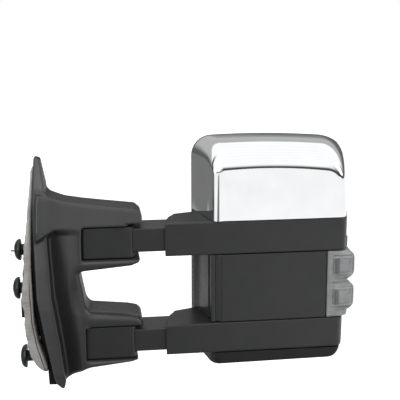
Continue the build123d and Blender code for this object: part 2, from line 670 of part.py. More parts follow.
# ================================================================= glass bodies
# name, edges, tilt centre, corner radius, slope, gap in front of the glass, plunger sockets
GLASSES = [
    ("upper", UPPER_GLASS, UPPER_TILT, 17, UPPER_SLOPE, 1.0, PLUNGERS),
    ("lower", LOWER_GLASS, LOWER_TILT, 15, 2.0, 0.2, ()),
]
UPRIGHT_PIN_R = 3.0


def inset_glass(edges, inset, radius, y0, y1, slope):
    x0, x1, z0, z1 = edges
    return glass_form(x0 + inset, x1 - inset, z0 + inset, z1 - inset, radius, y0, y1, slope)


def tilt_lug(x, z, side):
    """One of the holder's two lugs for the tilt pins, which lie along X."""
    x0, x1 = sorted((x + side * LUG_IN, x + side * LUG_OUT))
    lug = block(x0, x1, TILT_Y - 4.0, GLASS_FRONT - 3.0, z - 5.5, z + 5.5)
    return lug - rod_x(TILT_Y, z, x0 - 1, x1 + 1, 2.6)


def ball_socket(x, z):
    cup = rod_y(x, z, GLASS_FRONT - 11.5, GLASS_FRONT - 3.0, 8.6)
    return cup - rod_y(x, z, GLASS_FRONT - 20, GLASS_FRONT - 4.6, 6.6)


def glass_holder(edges, centre, radius, slope, gap, sockets):
    """Tray round the glass, with tilt lugs and any plunger sockets on its front."""
    holder = inset_glass(edges, 0.0, radius + 2, HOLDER_FRONT, GLASS_Y + 0.4, slope)
    holder = holder - inset_glass(edges, 2.0, radius, GLASS_FRONT - gap, GLASS_Y + 5, slope)
    holder = soften(holder, 0.8, rear_edges)
    # shallow round recess about the tilt centre
    holder = holder - rod_y(*centre, 30, HOLDER_FRONT + 0.05, 12.0)
    for side in (-1, 1):
        holder = holder + tilt_lug(*centre, side)
    for socket in sockets:
        holder = holder + ball_socket(*socket)
    return clean(holder)


def pivot_block(x, z):
    """It turns in and out on an upright pin, and carries the tilt pins."""
    body = block(x - 9, x + 9, TILT_Y - 4, TILT_Y + 4, z - 7, z + 7)
    body = soften(body, 2.0, along(Axis.Z))
    body = body - rod_z(x, TILT_Y, z - 20, z + 20, UPRIGHT_PIN_R + 0.05)
    for side in (-1, 1):
        x0, x1 = sorted((x + side * 8.5, x + side * (LUG_IN + 4.6)))
        body = body + rod_x(TILT_Y, z, x0, x1, 2.55)
    return body


for name, edges, centre, radius, slope, gap, sockets in GLASSES:
    save(inset_glass(edges, 2.2, radius, GLASS_FRONT, GLASS_Y, slope), f"{name}_glass")
    save(glass_holder(edges, centre, radius, slope, gap, sockets), f"{name}_glass_holder")
    save(pivot_block(*centre), f"{name}_pivot_block")

save(inset_glass(UPPER_GLASS, 6, 14, GLASS_FRONT - 0.9, GLASS_FRONT - 0.1, UPPER_SLOPE),
     "upper_heater_pad")


def pivot_fork(x, z, root_y):
    """Fork with the upright pin of the pivot block."""
    front = TILT_Y + 4
    fork = (block(x - 7, x + 7, root_y, front, z - 13, z - 8)
            + block(x - 7, x + 7, root_y, front, z + 8, z + 13))
    fork = fork + block(x - 7, x + 7, root_y, root_y + 1.6, z - 13, z + 13)
    return fork + rod_z(x, TILT_Y, z - 12, z + 12, UPRIGHT_PIN_R)


# Hand-set joint of the lower glass, on a round foot.
save(pivot_fork(*LOWER_TILT, 40.3) + rod_y(*LOWER_TILT, 40.3, 42.5, 20.0), "lower_pivot_fork")

# ---------------------------------------------------------------- power unit of the upper glass
UNIT_X, UNIT_Z = UPPER_TILT
GEAR_Y = 46.2           # mid-plane of worms, motors and rings
WORM_R = 3.0
WORM_OFFSET = 12.7      # distance between a worm's axis and its ring's axis
TILT_WORM_X = UNIT_X - WORM_OFFSET      # the tilt worm stands upright
TURN_WORM_Z = UNIT_Z - WORM_OFFSET      # the turn worm lies along X
GROOVE_START = 11.7     # from the worm's motor end
GROOVE_PITCH = 2.4
GROOVES = 8
PLUNGER_R = 3.6
RING_R = 8.4
RING_WIDTH = 6.4
TEETH = 18


def unit_form(y0, y1, inset):
    """Round body with one arm outboard and one arm upwards."""
    x, z = UNIT_X, UNIT_Z
    return (rod_y(x, z, y0, y1, 30.0 - inset)
            + block(x - 14 + inset, x + 60 - inset, y0, y1, z - 22 + inset, z + 16 - inset)
            + block(x - 22 + inset, x + 16 - inset, y0, y1, z - 14 + inset, z + 56 - inset))


def unit_case():
    case = soften(unit_form(40.3, 50.0, 0.0), 3.0, along(Axis.Y))
    case = case - unit_form(42.3, 60.0, 2.4)
    for x, z in PLUNGERS:
        case = case - rod_y(x, z, 30, 60, PLUNGER_HOLE_R)
    return case


def unit_lid():
    lid = unit_form(50.2, 52.2, 0.0)
    for x, z in PLUNGERS:
        lid = lid - rod_y(x, z, 30, 60, 10.5)
    return lid + pivot_fork(*UPPER_TILT, 50.4)


def unit_motors():
    y0, y1 = GEAR_Y - 3.7, GEAR_Y + 3.7
    tilt = block(TILT_WORM_X - 6, TILT_WORM_X + 6, y0, y1, UNIT_Z - 4, UNIT_Z + 18)
    turn = block(UNIT_X, UNIT_X + 22, y0, y1, TURN_WORM_Z - 6, TURN_WORM_Z + 6)
    tilt = soften(tilt, 2.0, along(Axis.Z))
    turn = soften(turn, 2.0, along(Axis.X))
    return [tilt.solids()[0], turn.solids()[0]]


def worm(place, length):
    """Worm along the place's own Z, its thread shown as a row of ring grooves."""
    body = place * Pos(0, 0, length / 2) * Cylinder(WORM_R, length)
    for k in range(GROOVES):
        groove = Cylinder(WORM_R + 1, 1.0) - Cylinder(WORM_R - 0.8, 1.0)
        body = body - place * Pos(0, 0, GROOVE_START + (k + 0.5) * GROOVE_PITCH) * groove
    return body


def plunger(x, z):
    """Jackscrew: a plain rod with a ball end that seats in the holder."""
    return rod_y(x, z, 31.0, 60.0, PLUNGER_R) + Pos(x, BALL_Y, z) * Sphere(4.6)


def drive_ring(x, z):
    """Geared ring round the plunger."""
    ring = rod_y(x, z, GEAR_Y - RING_WIDTH / 2, GEAR_Y + RING_WIDTH / 2, RING_R)
    for k in range(TEETH):
        turn = Rot(0, k * 360 / TEETH, 0)
        ring = ring + Pos(x, GEAR_Y, z) * turn * Pos(RING_R + 0.2, 0, 0) * Box(1.8, RING_WIDTH, 1.2)
    return ring - rod_y(x, z, 40, 55, PLUNGER_R + 0.06)


save(unit_case(), "power_unit_case")
save(unit_lid(), "power_unit_lid")
save(unit_motors(), "power_unit_motors")
save(worm(Pos(TILT_WORM_X, GEAR_Y, UNIT_Z + 18.3), 32.7), "tilt_worm")
save(worm(Pos(UNIT_X + 22.3, GEAR_Y, TURN_WORM_Z) * Rot(0, 90, 0), 33.7), "turn_worm")
for name, place in (("tilt", TILT_PLUNGER), ("turn", TURN_PLUNGER)):
    save(plunger(*place), f"{name}_plunger")
    save(drive_ring(*place), f"{name}_drive_ring")
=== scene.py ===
"""A door mirror on two arm tubes: a base with a foam pad against the door, hinge knuckles
on a vertical pivot, and a head with a chrome cap, two dark bands and a marker lens.

X runs outboard from the door, -Y is the front and Z is up. Pieces are worked out in
millimetres from the arm datum; DATUM moves them to the row frame, which is in metres."""

import json
import math
import bpy
import bmesh
import numpy as np
from mathutils import Matrix, Vector


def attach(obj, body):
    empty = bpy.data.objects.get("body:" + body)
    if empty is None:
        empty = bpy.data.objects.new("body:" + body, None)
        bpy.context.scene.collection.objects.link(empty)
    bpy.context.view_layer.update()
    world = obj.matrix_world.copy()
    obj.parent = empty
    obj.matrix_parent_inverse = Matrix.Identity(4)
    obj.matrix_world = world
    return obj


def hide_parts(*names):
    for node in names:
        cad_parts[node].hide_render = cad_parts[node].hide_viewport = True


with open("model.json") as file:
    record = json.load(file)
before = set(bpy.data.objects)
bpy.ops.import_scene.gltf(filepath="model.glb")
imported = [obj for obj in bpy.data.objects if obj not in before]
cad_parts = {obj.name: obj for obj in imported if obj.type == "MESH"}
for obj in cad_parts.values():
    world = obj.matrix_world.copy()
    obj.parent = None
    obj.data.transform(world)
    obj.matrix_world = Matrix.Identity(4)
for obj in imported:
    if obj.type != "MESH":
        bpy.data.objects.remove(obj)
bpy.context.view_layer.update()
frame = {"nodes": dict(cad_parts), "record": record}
NODES = frame["nodes"]

F32 = np.float32
DATUM = np.array([1.5, 0.0, 38.0])

# ---------------------------------------------------------- shared sizes (mm)
PIVOT_X = 142.0                 # the hinge axis is vertical, at y = 0
TUBE_HALF_DEPTH = 29.0          # both tubes, along y
TUBE_Z = {"upper": (38.0, 38.0), "lower": (-122.5, 37.0)}       # centre z, height
BAND_Z = {"upper": (12.0, 64.2), "lower": (-146.9, -98.0)}      # low z, high z
KNUCKLE_Z = {"upper": (11.0, 59.5), "lower": (-149.5, -98.0)}   # low z, high z
STUDS = ((0.0, 22.9), (0.0, -38.0), (0.0, -149.5))              # y, z of the door studs


def row_frame(points):
    return (np.asarray(points, float) + DATUM) / 1000.0


# ================================================================== outlines
FILLET_STEPS = 8


def rounded(corners, radius=None):
    """A closed polygon with rounded corners. Each corner is (u, v, radius), or (u, v)
    when one radius serves them all."""
    radii = [corner[2] if radius is None else radius for corner in corners]
    points = [np.array(corner[:2], float) for corner in corners]
    result = []
    for i, corner in enumerate(points):
        to_last = points[i - 1] - corner
        to_next = points[(i + 1) % len(points)] - corner
        last_length, next_length = np.linalg.norm(to_last), np.linalg.norm(to_next)
        if radii[i] <= 0 or last_length < 1e-6 or next_length < 1e-6:
            result.append(corner)
            continue
        to_last, to_next = to_last / last_length, to_next / next_length
        half_angle = math.acos(float(np.clip(to_last @ to_next, -1, 1))) / 2
        if half_angle > math.pi / 2 - 0.01:     # nearly straight
            result.append(corner)
            continue
        setback = min(radii[i] / math.tan(half_angle), last_length * 0.49, next_length * 0.49)
        fitted = setback * math.tan(half_angle)
        middle = to_last + to_next
        centre = corner + middle / np.linalg.norm(middle) * (fitted / math.sin(half_angle))
        first = corner + to_last * setback - centre
        last = corner + to_next * setback - centre
        first_angle = math.atan2(first[1], first[0])
        turn = math.atan2(last[1], last[0]) - first_angle
        turn = (turn + math.pi) % (2 * math.pi) - math.pi
        for k in range(FILLET_STEPS + 1):
            angle = first_angle + turn * k / FILLET_STEPS
            result.append(centre + fitted * np.array([math.cos(angle), math.sin(angle)]))
    return np.array(result)


def arc_through(start, via, stop, count):
    """Points along the circle through three points, from start to stop."""
    (ax, ay), (bx, by), (cx, cy) = start, via, stop
    a2, b2, c2 = ax * ax + ay * ay, bx * bx + by * by, cx * cx + cy * cy
    scale = 2 * (ax * (by - cy) + bx * (cy - ay) + cx * (ay - by))
    mid_x = (a2 * (by - cy) + b2 * (cy - ay) + c2 * (ay - by)) / scale
    mid_y = (a2 * (cx - bx) + b2 * (ax - cx) + c2 * (bx - ax)) / scale
    radius = math.hypot(ax - mid_x, ay - mid_y)
    first = math.atan2(ay - mid_y, ax - mid_x)
    sweep = (math.atan2(cy - mid_y, cx - mid_x) - first) % (2 * math.pi)
    if (math.atan2(by - mid_y, bx - mid_x) - first) % (2 * math.pi) > sweep:
        sweep -= 2 * math.pi
    angles = [first + sweep * k / (count - 1) for k in range(count)]
    return np.array([(mid_x + radius * math.cos(angle), mid_y + radius * math.sin(angle))
                     for angle in angles])


def natural_spline(stations, rows, wanted):
    """Natural cubic spline through a table of rows, read at the wanted stations."""
    count = len(stations)
    painted_gap_shade = np.diff(stations)
    system = np.zeros((count, count))
    target = np.zeros((count, rows.shape[1]))
    system[0, 0] = system[-1, -1] = 1
    for i in range(1, count - 1):
        system[i, i - 1:i + 2] = painted_gap_shade[i - 1], 2 * (painted_gap_shade[i - 1] + painted_gap_shade[i]), painted_gap_shade[i]
        target[i] = 6 * ((rows[i + 1] - rows[i]) / painted_gap_shade[i] - (rows[i] - rows[i - 1]) / painted_gap_shade[i - 1])
    bend = np.linalg.solve(system, target)
    result = []
    for station in wanted:
        i = int(np.clip(np.searchsorted(stations, station) - 1, 0, count - 2))
        a, b = (stations[i + 1] - station) / painted_gap_shade[i], (station - stations[i]) / painted_gap_shade[i]
        curve = ((a ** 3 - a) * bend[i] + (b ** 3 - b) * bend[i + 1]) * painted_gap_shade[i] ** 2 / 6
        result.append(a * rows[i] + b * rows[i + 1] + curve)
    return np.array(result)


# =========================================== distance fields, negative inside
CUBE_CORNERS = [(i, j, k) for i in (0, 1) for j in (0, 1) for k in (0, 1)]


class Grid:
    def __init__(self, low, high, step):
        self.low = np.array(low, float)
        self.step = float(step)
        self.count = np.ceil((np.array(high, float) - self.low) / step).astype(int) + 1
        self.axes = []
        for axis in range(3):
            line = (self.low[axis] + step * np.arange(self.count[axis])).astype(F32)
            shape = [1, 1, 1]
            shape[axis] = -1
            self.axes.append(line.reshape(shape))


def outline(u, v, points):
    """Distance to a closed polygon in the (u, v) plane."""
    u, v = np.broadcast_arrays(u, v)
    points = np.asarray(points, float)
    nearest = np.full(u.shape, 1e9, F32)
    inside = np.zeros(u.shape, bool)
    for i in range(len(points)):
        u0, v0 = points[i - 1]
        u1, v1 = points[i]
        du, dv = u1 - u0, v1 - v0
        length2 = du * du + dv * dv
        if length2 < 1e-9:
            continue
        from_u, from_v = u - F32(u0), v - F32(v0)
        along_edge = np.clip((from_u * F32(du) + from_v * F32(dv)) / F32(length2), 0, 1)
        off_u, off_v = from_u - along_edge * F32(du), from_v - along_edge * F32(dv)
        nearest = np.minimum(nearest, off_u * off_u + off_v * off_v)
        if dv != 0:
            crosses = (v0 > v) != (v1 > v)
            inside ^= crosses & (u < u0 + (v - v0) * (du / dv))
    nearest = np.sqrt(nearest)
    return np.where(inside, -nearest, nearest).astype(F32)


def intersect(a, b, edge=0.0):
    """Intersection of two fields, with its edge rounded to a radius."""
    if edge <= 0:
        return np.maximum(a, b)
    a, b = a + edge, b + edge
    over_a, over_b = np.maximum(a, 0), np.maximum(b, 0)
    return np.sqrt(over_a * over_a + over_b * over_b) + np.minimum(np.maximum(a, b), 0) - edge


def carve(body, tool, edge=0.0):
    return intersect(body, -tool, edge)


def blend(a, b, reach):
    """Union of two fields with a soft valley."""
    overlap = np.maximum(reach - np.abs(a - b), 0) / reach
    return np.minimum(a, b) - overlap * overlap * (reach * 0.25)


def slab(values, low, high):
    return np.abs(values - (low + high) / 2) - (high - low) / 2


def box(xyz, low, high, edge=0.0):
    qx, qy, qz = (slab(xyz[i], low[i], high[i]) + edge for i in range(3))
    outside = np.sqrt(np.maximum(qx, 0) ** 2 + np.maximum(qy, 0) ** 2 + np.maximum(qz, 0) ** 2)
    return outside + np.minimum(np.maximum(np.maximum(qx, qy), qz), 0) - edge


def cylinder_x(y, z, centre, radius):
    return np.sqrt((y - centre[0]) ** 2 + (z - centre[1]) ** 2) - radius


def pivot_distance(x, y):
    return np.sqrt((x - PIVOT_X) ** 2 + y ** 2)


def tube_hole(xyz, level, x_low, x_high, clearance, edge):
    """The room one arm tube takes up, with clearance all round."""
    centre, height = TUBE_Z[level]
    half_depth = TUBE_HALF_DEPTH + clearance
    low = (x_low, -half_depth, centre - height / 2 - clearance)
    high = (x_high, half_depth, centre + height / 2 + clearance)
    return box(xyz, low, high, edge)


def unit(values):
    return np.clip(values, 0, 1)


def along(axis, table):
    """Reads a table of (station, value) at every place on a grid axis."""
    stations, values = np.transpose(table)
    return np.interp(axis, stations, values).astype(F32)


def wave(values, pitch):
    return np.sin(values * (2 * math.pi / pitch))


# ============================================================== surface nets
def trilinear(field, grid, points):
    place = (points - grid.low) / grid.step
    cell = np.clip(np.floor(place).astype(int), 0, grid.count - 2)
    part = place - cell
    share = (1 - part, part)
    total = 0
    for i, j, k in CUBE_CORNERS:
        weight = share[i][:, 0] * share[j][:, 1] * share[k][:, 2]
        total = total + weight * field[cell[:, 0] + i, cell[:, 1] + j, cell[:, 2] + k]
    return total


def gradient(field, grid, points, reach):
    """Slope by central difference; reach is in grid steps."""
    reach = grid.step * reach
    slope = np.empty_like(points)
    for axis in range(3):
        shift = np.zeros(3)
        shift[axis] = reach
        rise = trilinear(field, grid, points + shift) - trilinear(field, grid, points - shift)
        slope[:, axis] = rise / (2 * reach)
    return slope


def surface_nets(field, grid):
    """Points, quads and normals of the zero surface: one point in each cell it crosses."""
    field = np.ascontiguousarray(field, F32)
    inside = field < 0
    nx, ny, nz = np.array(inside.shape) - 1
    filled = sum(inside[i:i + nx, j:j + ny, k:k + nz].astype(np.int8) for i, j, k in CUBE_CORNERS)
    active = (filled > 0) & (filled < 8)
    cells = np.argwhere(active)
    ids = np.full(active.shape, -1, np.int64)
    ids[active] = np.arange(len(cells))

    # each point starts at the mean of the crossings on its cell's edges
    total = np.zeros((len(cells), 3))
    crossings = np.zeros(len(cells))
    values = {c: field[cells[:, 0] + c[0], cells[:, 1] + c[1], cells[:, 2] + c[2]]
              for c in CUBE_CORNERS}
    for corner in CUBE_CORNERS:
        for axis in range(3):
            if corner[axis] == 1:
                continue
            other = tuple(corner[j] + (j == axis) for j in range(3))
            a, b = values[corner], values[other]
            crossed = (a < 0) != (b < 0)
            point = np.tile(np.array(corner, float), (len(cells), 1))
            point[:, axis] += np.where(crossed, a / np.where(crossed, a - b, 1), 0)
            total += point * crossed[:, None]
            crossings += crossed
    points = (cells + total / crossings[:, None]) * grid.step + grid.low

    # one quad round each grid edge that the surface crosses
    quads = []
    for axis in range(3):
        near, far = [slice(1, -1)] * 3, [slice(1, -1)] * 3
        near[axis] = slice(0, field.shape[axis] - 1)
        far[axis] = slice(1, field.shape[axis])
        near, far = inside[tuple(near)], inside[tuple(far)]
        edges = np.argwhere(near != far)
        starts_inside = near[tuple(edges.T)]
        offset = np.array([1, 1, 1])
        offset[axis] = 0
        edges = edges + offset
        u, v = [(1, 2), (2, 0), (0, 1)][axis]
        ring = []
        for du, dv in ((-1, -1), (0, -1), (0, 0), (-1, 0)):
            cell = edges.copy()
            cell[:, u] += du
            cell[:, v] += dv
            ring.append(ids[cell[:, 0], cell[:, 1], cell[:, 2]])
        ring = np.stack(ring, 1)
        quads.append(np.where(starts_inside[:, None], ring, ring[:, ::-1]))
    quads = np.concatenate(quads)
    quads = quads[(quads >= 0).all(1)]

    # pull the points onto the surface
    limit = 0.4 * grid.step
    for _ in range(3):
        distance = trilinear(field, grid, points)
        slope = gradient(field, grid, points, 0.5)
        steep = np.maximum((slope * slope).sum(1), 0.05)
        points = points - slope * np.clip(distance / steep, -limit, limit)[:, None]
    normals = gradient(field, grid, points, 1.0)
    normals /= np.maximum(np.linalg.norm(normals, axis=1), 1e-9)[:, None]
    return points, quads, normals


# =========================================================== adding a piece
def add_object(name, mesh, material, body, replaced):
    piece = bpy.data.objects.new(name, mesh)
    bpy.context.scene.collection.objects.link(piece)
    mesh.materials.append(material)
    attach(piece, body)
    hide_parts(replaced)
    return piece


def add_field_piece(name, field, low, high, step, material, body, replaced):
    """Meshes the zero surface of field(x, y, z) within a box."""
    grid = Grid(low, high, step)
    points, quads, normals = surface_nets(field(*grid.axes), grid)
    mesh = bpy.data.meshes.new(name)
    mesh.vertices.add(len(points))
    mesh.vertices.foreach_set("co", row_frame(points).astype(F32).ravel())
    mesh.loops.add(quads.size)
    mesh.loops.foreach_set("vertex_index", quads.astype(np.int32).ravel())
    mesh.polygons.add(len(quads))
    mesh.polygons.foreach_set("loop_start", (np.arange(len(quads)) * 4).astype(np.int32))
    mesh.update(calc_edges=True)
    mesh.validate()
    mesh.polygons.foreach_set("use_smooth", [True] * len(mesh.polygons))
    mesh.normals_split_custom_set_from_vertices([tuple(normal) for normal in normals])
    add_object(name, mesh, material, body, replaced)


# ============================================================== shader nodes
class Nodes:
    """Fills one node tree. Most methods return the new node's output."""

    def __init__(self, tree):
        self.tree = tree
        tree.nodes.clear()

    def add(self, kind):
        return self.tree.nodes.new("ShaderNode" + kind)

    def feed(self, socket, value):
        """Links an output to the socket, or sets the socket's own value."""
        if isinstance(value, bpy.types.NodeSocket):
            self.tree.links.new(value, socket)
        else:
            socket.default_value = value

    def math(self, operation, value, *others):
        """One math node, or a chain of them when there are three values or more."""
        for other in others or (None,):
            node = self.add("Math")
            node.operation = operation
            self.feed(node.inputs[0], value)
            if other is not None:
                self.feed(node.inputs[1], other)
            value = node.outputs[0]
        return value

    def mul(self, *values):
        return self.math("MULTIPLY", *values)

    def split(self, vector):
        node = self.add("SeparateXYZ")
        self.feed(node.inputs[0], vector)
        return node.outputs

    def noise(self, vector, scale, detail, roughness):
        node = self.add("TexNoise")
        self.feed(node.inputs["Scale"], scale)
        self.feed(node.inputs["Detail"], detail)
        self.feed(node.inputs["Roughness"], roughness)
        self.feed(node.inputs["Vector"], vector)
        return node.outputs["Fac"]

    def two_tone(self, factor, low_color, high_color):
        node = self.add("ValToRGB")
        stops = ((0.3, low_color), (0.7, high_color))
        for element, (position, color) in zip(node.color_ramp.elements, stops):
            element.position = position
            element.color = (*color, 1.0)
        self.feed(node.inputs[0], factor)
        return node.outputs[0]

    def map_range(self, value, to_low, to_high, low=0.25, high=0.75, smooth=False):
        node = self.add("MapRange")
        if smooth:
            node.interpolation_type = "SMOOTHSTEP"
        for socket, source in zip(node.inputs, (value, low, high, to_low, to_high)):
            self.feed(socket, source)
        return node.outputs[0]

    def rise(self, value, start, end, smooth=False):
        return self.map_range(value, 0.0, 1.0, start, end, smooth)

    def fall(self, value, start, end):
        return self.map_range(value, 1.0, 0.0, start, end)

    def window(self, value, low, high, soft):
        """One between low and high, zero outside, over straight ramps."""
        return self.mul(self.rise(value, low - soft, low + soft),
                        self.fall(value, high - soft, high + soft))

    def step(self, value, start, end):
        return self.rise(value, start, end, smooth=True)

    def invert(self, value):
        return self.math("SUBTRACT", 1.0, value)

    def smooth_window(self, value, low, high, soft):
        return self.mul(self.step(value, low - soft, low + soft),
                        self.invert(self.step(value, high - soft, high + soft)))

    def bump(self, height, strength, distance, normal=None):
        node = self.add("Bump")
        self.feed(node.inputs["Strength"], strength)
        self.feed(node.inputs["Distance"], distance)
        self.feed(node.inputs["Height"], height)
        if normal is not None:
            self.feed(node.inputs["Normal"], normal)
        return node.outputs[0]


def node_material(name, build):
    """A principled material; build(nodes, feed, vector) fills its inputs by name."""
    material = bpy.data.materials.new(name)
    material.use_nodes = True
    nodes = Nodes(material.node_tree)
    output = nodes.add("OutputMaterial")
    surface = nodes.add("BsdfPrincipled")
    nodes.feed(output.inputs[0], surface.outputs[0])
    coordinates = nodes.add("TexCoord")

    def feed(socket_name, value):
        nodes.feed(surface.inputs[socket_name], value)

    build(nodes, feed, coordinates.outputs["Object"])
    return material


# ================================================================= materials
def grained(name, color, roughness=0.5, metallic=0.0, color_spread=0.12, grain=1800.0,
            grain_strength=0.15, grain_depth=0.0001, specular=0.5, bevel=0.0, grazing=1.0):
    """A mottled, finely grained finish. grain is the noise scale, bevel softens sharp
    edges in the shading, and grazing scales the shine at a glancing angle."""
    def build(nodes, feed, vector):
        mottle = nodes.noise(vector, scale=38.0, detail=6.0, roughness=0.6)
        darker = [channel * (1 - color_spread) for channel in color]
        lighter = [channel * (1 + color_spread) for channel in color]
        feed("Base Color", nodes.two_tone(mottle, darker, lighter))
        patches = nodes.noise(vector, scale=160.0, detail=5.0, roughness=0.55)
        feed("Roughness", nodes.map_range(patches, roughness - 0.06, roughness + 0.06))
        feed("Metallic", metallic)
        feed("Specular IOR Level", specular)
        feed("IOR", 1.5)
        if grazing < 1.0:
            weight = nodes.add("LayerWeight")
            nodes.feed(weight.inputs["Blend"], 0.5)
            feed("Specular IOR Level", nodes.map_range(
                weight.outputs["Facing"], specular, specular * grazing, low=0.5, high=0.85))
        normal = None
        if bevel > 0:
            soft_edge = nodes.add("Bevel")
            soft_edge.samples = 4
            nodes.feed(soft_edge.inputs["Radius"], bevel)
            normal = soft_edge.outputs[0]
        fine = nodes.noise(vector, scale=grain, detail=2.0, roughness=0.6)
        feed("Normal", nodes.bump(fine, grain_strength, grain_depth, normal))

    return node_material(name, build)


def build_chrome(nodes, feed, vector):
    tone = nodes.noise(vector, scale=30.0, detail=4.0, roughness=0.5)
    feed("Base Color", nodes.two_tone(tone, (0.745, 0.752, 0.76), (0.79, 0.797, 0.803)))
    smears = nodes.noise(vector, scale=60.0, detail=5.0, roughness=0.6)
    feed("Roughness", nodes.map_range(smears, 0.03, 0.07))
    feed("Metallic", 1.0)
    ripple = nodes.noise(vector, scale=9.0, detail=2.0, roughness=0.5)
    feed("Normal", nodes.bump(ripple, strength=0.05, distance=0.002))


def build_mirror(nodes, feed, vector):
    tone = nodes.noise(vector, scale=18.0, detail=3.0, roughness=0.5)
    feed("Base Color", nodes.two_tone(tone, (0.86, 0.88, 0.89), (0.89, 0.905, 0.91)))
    smears = nodes.noise(vector, scale=25.0, detail=4.0, roughness=0.6)
    feed("Roughness", nodes.map_range(smears, 0.008, 0.03))
    feed("Metallic", 1.0)
    feed("Coat Weight", 1.0)
    feed("Coat Roughness", 0.01)


def build_lens(nodes, feed, vector):
    """Clear plastic whose tint draws the optics behind the skin, with painted shade and painted
    highlights laid on them; places are in metres.
    """
    tone = nodes.noise(vector, scale=60.0, detail=3.0, roughness=0.5)
    x, _, z = nodes.split(vector)
    mul, math_node, window = nodes.mul, nodes.math, nodes.window

    def sine(value, rate):
        return math_node("SINE", mul(value, rate))

    # painted shade on each bulge: a thin painted shade line at its frame, painted shade along its
    # inboard edge and painted grey shade over its outboard side
    bulges = math_node("MAXIMUM", window(z, 0.0125, 0.0375, soft=0.0012),
                       window(z, -0.0385, -0.0135, soft=0.0012))
    painted_inboard_shade = mul(bulges, window(x, 0.4980, 0.5050, soft=0.0020))
    painted_frame_shade = mul(bulges, window(x, 0.4955, 0.4968, soft=0.0004))
    outboard = mul(bulges, nodes.rise(x, 0.514, 0.528))
    # painted shade in the lines between the bulges and at both ends
    painted_end_shade = math_node("MAXIMUM", window(z, 0.0405, 0.0425, soft=0.0006),
                         window(z, -0.0435, -0.0415, soft=0.0006))
    painted_gap_shade = math_node("MAXIMUM", window(z, -0.0040, -0.0010, soft=0.0008), painted_end_shade)
    painted_gap_shade = mul(painted_gap_shade, window(x, 0.4945, 0.5300, soft=0.002))
    # painted highlights and shade along the ribs on the inboard strip and the cross-hatching
    # outboard
    ribs = mul(sine(z, 2166.6), 0.16, nodes.fall(x, 0.4925, 0.4945))
    hatching = mul(sine(math_node("ADD", x, z), 2100.0),
                   sine(math_node("SUBTRACT", x, z), 2100.0), mul(outboard, 0.14))

    # the tint's value: painted highlights raise it, painted shade lowers it
    light = math_node("ADD", 1.12, ribs, hatching)
    shade = math_node("ADD", mul(outboard, 0.30), mul(painted_gap_shade, 0.40))
    shade = math_node("ADD", mul(painted_frame_shade, 0.45), shade)
    shade = math_node("ADD", mul(painted_inboard_shade, 0.62), shade)
    tint = nodes.add("HueSaturation")
    nodes.feed(tint.inputs["Value"], math_node("SUBTRACT", light, shade))
    nodes.feed(tint.inputs["Color"],
               nodes.two_tone(tone, (0.33, 0.34, 0.34), (0.43, 0.435, 0.44)))
    feed("Base Color", tint.outputs[0])
    haze = nodes.noise(vector, scale=140.0, detail=3.0, roughness=0.5)
    feed("Roughness", nodes.map_range(haze, 0.10, 0.18))
    feed("Transmission Weight", 0.62)
    feed("IOR", 1.49)


MOULDED = dict(color_spread=0.10, grain=1500.0, grain_strength=0.30, grain_depth=0.00012,
               bevel=0.0009, grazing=0.04)
FINE_MOULDED = dict(roughness=0.5, grain=1500.0, grain_strength=0.2, bevel=0.0005)

# material slot in the record: its material
MATERIALS = {
    "black_plastic": grained("black_plastic_grain", (0.0150, 0.0153, 0.0163),
                             roughness=0.36, specular=0.40, **MOULDED),
    # a lighter copy of black_plastic, about 1.5 times as bright: painted light on the base cover
    "base_plastic": grained("base_moulding_painted_light", (0.0225, 0.0228, 0.0240),
                            roughness=0.37, specular=0.44, **MOULDED),
    # a darker, duller copy of black_plastic, about 0.7 times as bright: painted shade on the
    # head's underside
    "bottom_plastic": grained("bottom_moulding_painted_shade", (0.0105, 0.0107, 0.0115),
                              roughness=0.42, specular=0.20, **MOULDED),
    # near black with little shine, so the frame strip between flange and pad reads as a shaded
    # gap: painted shade
    "die_cast": grained("die_casting_painted_shade_black", (0.005, 0.005, 0.0052), roughness=0.75,
                        grain=900.0, grain_strength=0.4, grain_depth=0.0002, bevel=0.0006,
                        specular=0.12),
    "foam_grey": grained("closed_cell_foam", (0.245, 0.239, 0.232), roughness=0.85,
                         color_spread=0.18, grain=1100.0, grain_strength=0.7,
                         grain_depth=0.0004, specular=0.25),
    "zinc_steel": grained("zinc_plated_steel", (0.66, 0.67, 0.68), roughness=0.32,
                          metallic=1.0, grain=1200.0, bevel=0.0003),
    "black_gloss": grained("moulded_gloss_black", (0.006, 0.009, 0.008), roughness=0.30,
                           specular=0.28, color_spread=0.2, grain=500.0,
                           grain_strength=0.12, bevel=0.0005),
    "rubber_black": grained("cable_rubber", (0.018, 0.018, 0.018), roughness=0.6,
                            grain=1400.0, grain_strength=0.3),
    "black_coat": grained("powder_coat_black", (0.0095, 0.0097, 0.0105), roughness=0.40,
                          color_spread=0.08, grain=2600.0, grain_strength=0.35,
                          bevel=0.0012, grazing=0.45),
    "nylon": grained("moulded_nylon", (0.03, 0.03, 0.03), **FINE_MOULDED),
    "spring_steel": grained("spring_wire_steel", (0.42, 0.42, 0.43), roughness=0.3,
                            metallic=1.0),
    "silver_reflector": grained("vapour_coated_reflector", (0.85, 0.86, 0.87),
                                roughness=0.22, metallic=1.0, color_spread=0.04,
                                grain=500.0, grain_strength=0.2),
    "board_green": grained("board_solder_mask", (0.03, 0.12, 0.06), roughness=0.4),
    "brass_worm": grained("turned_brass", (0.72, 0.52, 0.24), roughness=0.3, metallic=1.0),
    "heater_foil": grained("heater_film", (0.42, 0.22, 0.08), roughness=0.45),
    "holder_black": grained("moulded_holder_black", (0.018, 0.018, 0.019), **FINE_MOULDED),
    "bright_chrome": node_material("bright_chrome_plate", build_chrome),
    "mirror_flat": node_material("silvered_glass", build_mirror),
    "clear_lens": node_material("clear_moulded_lens", build_lens),
    "bulb_glass": node_material("bulb_clear_glass", build_lens),
}

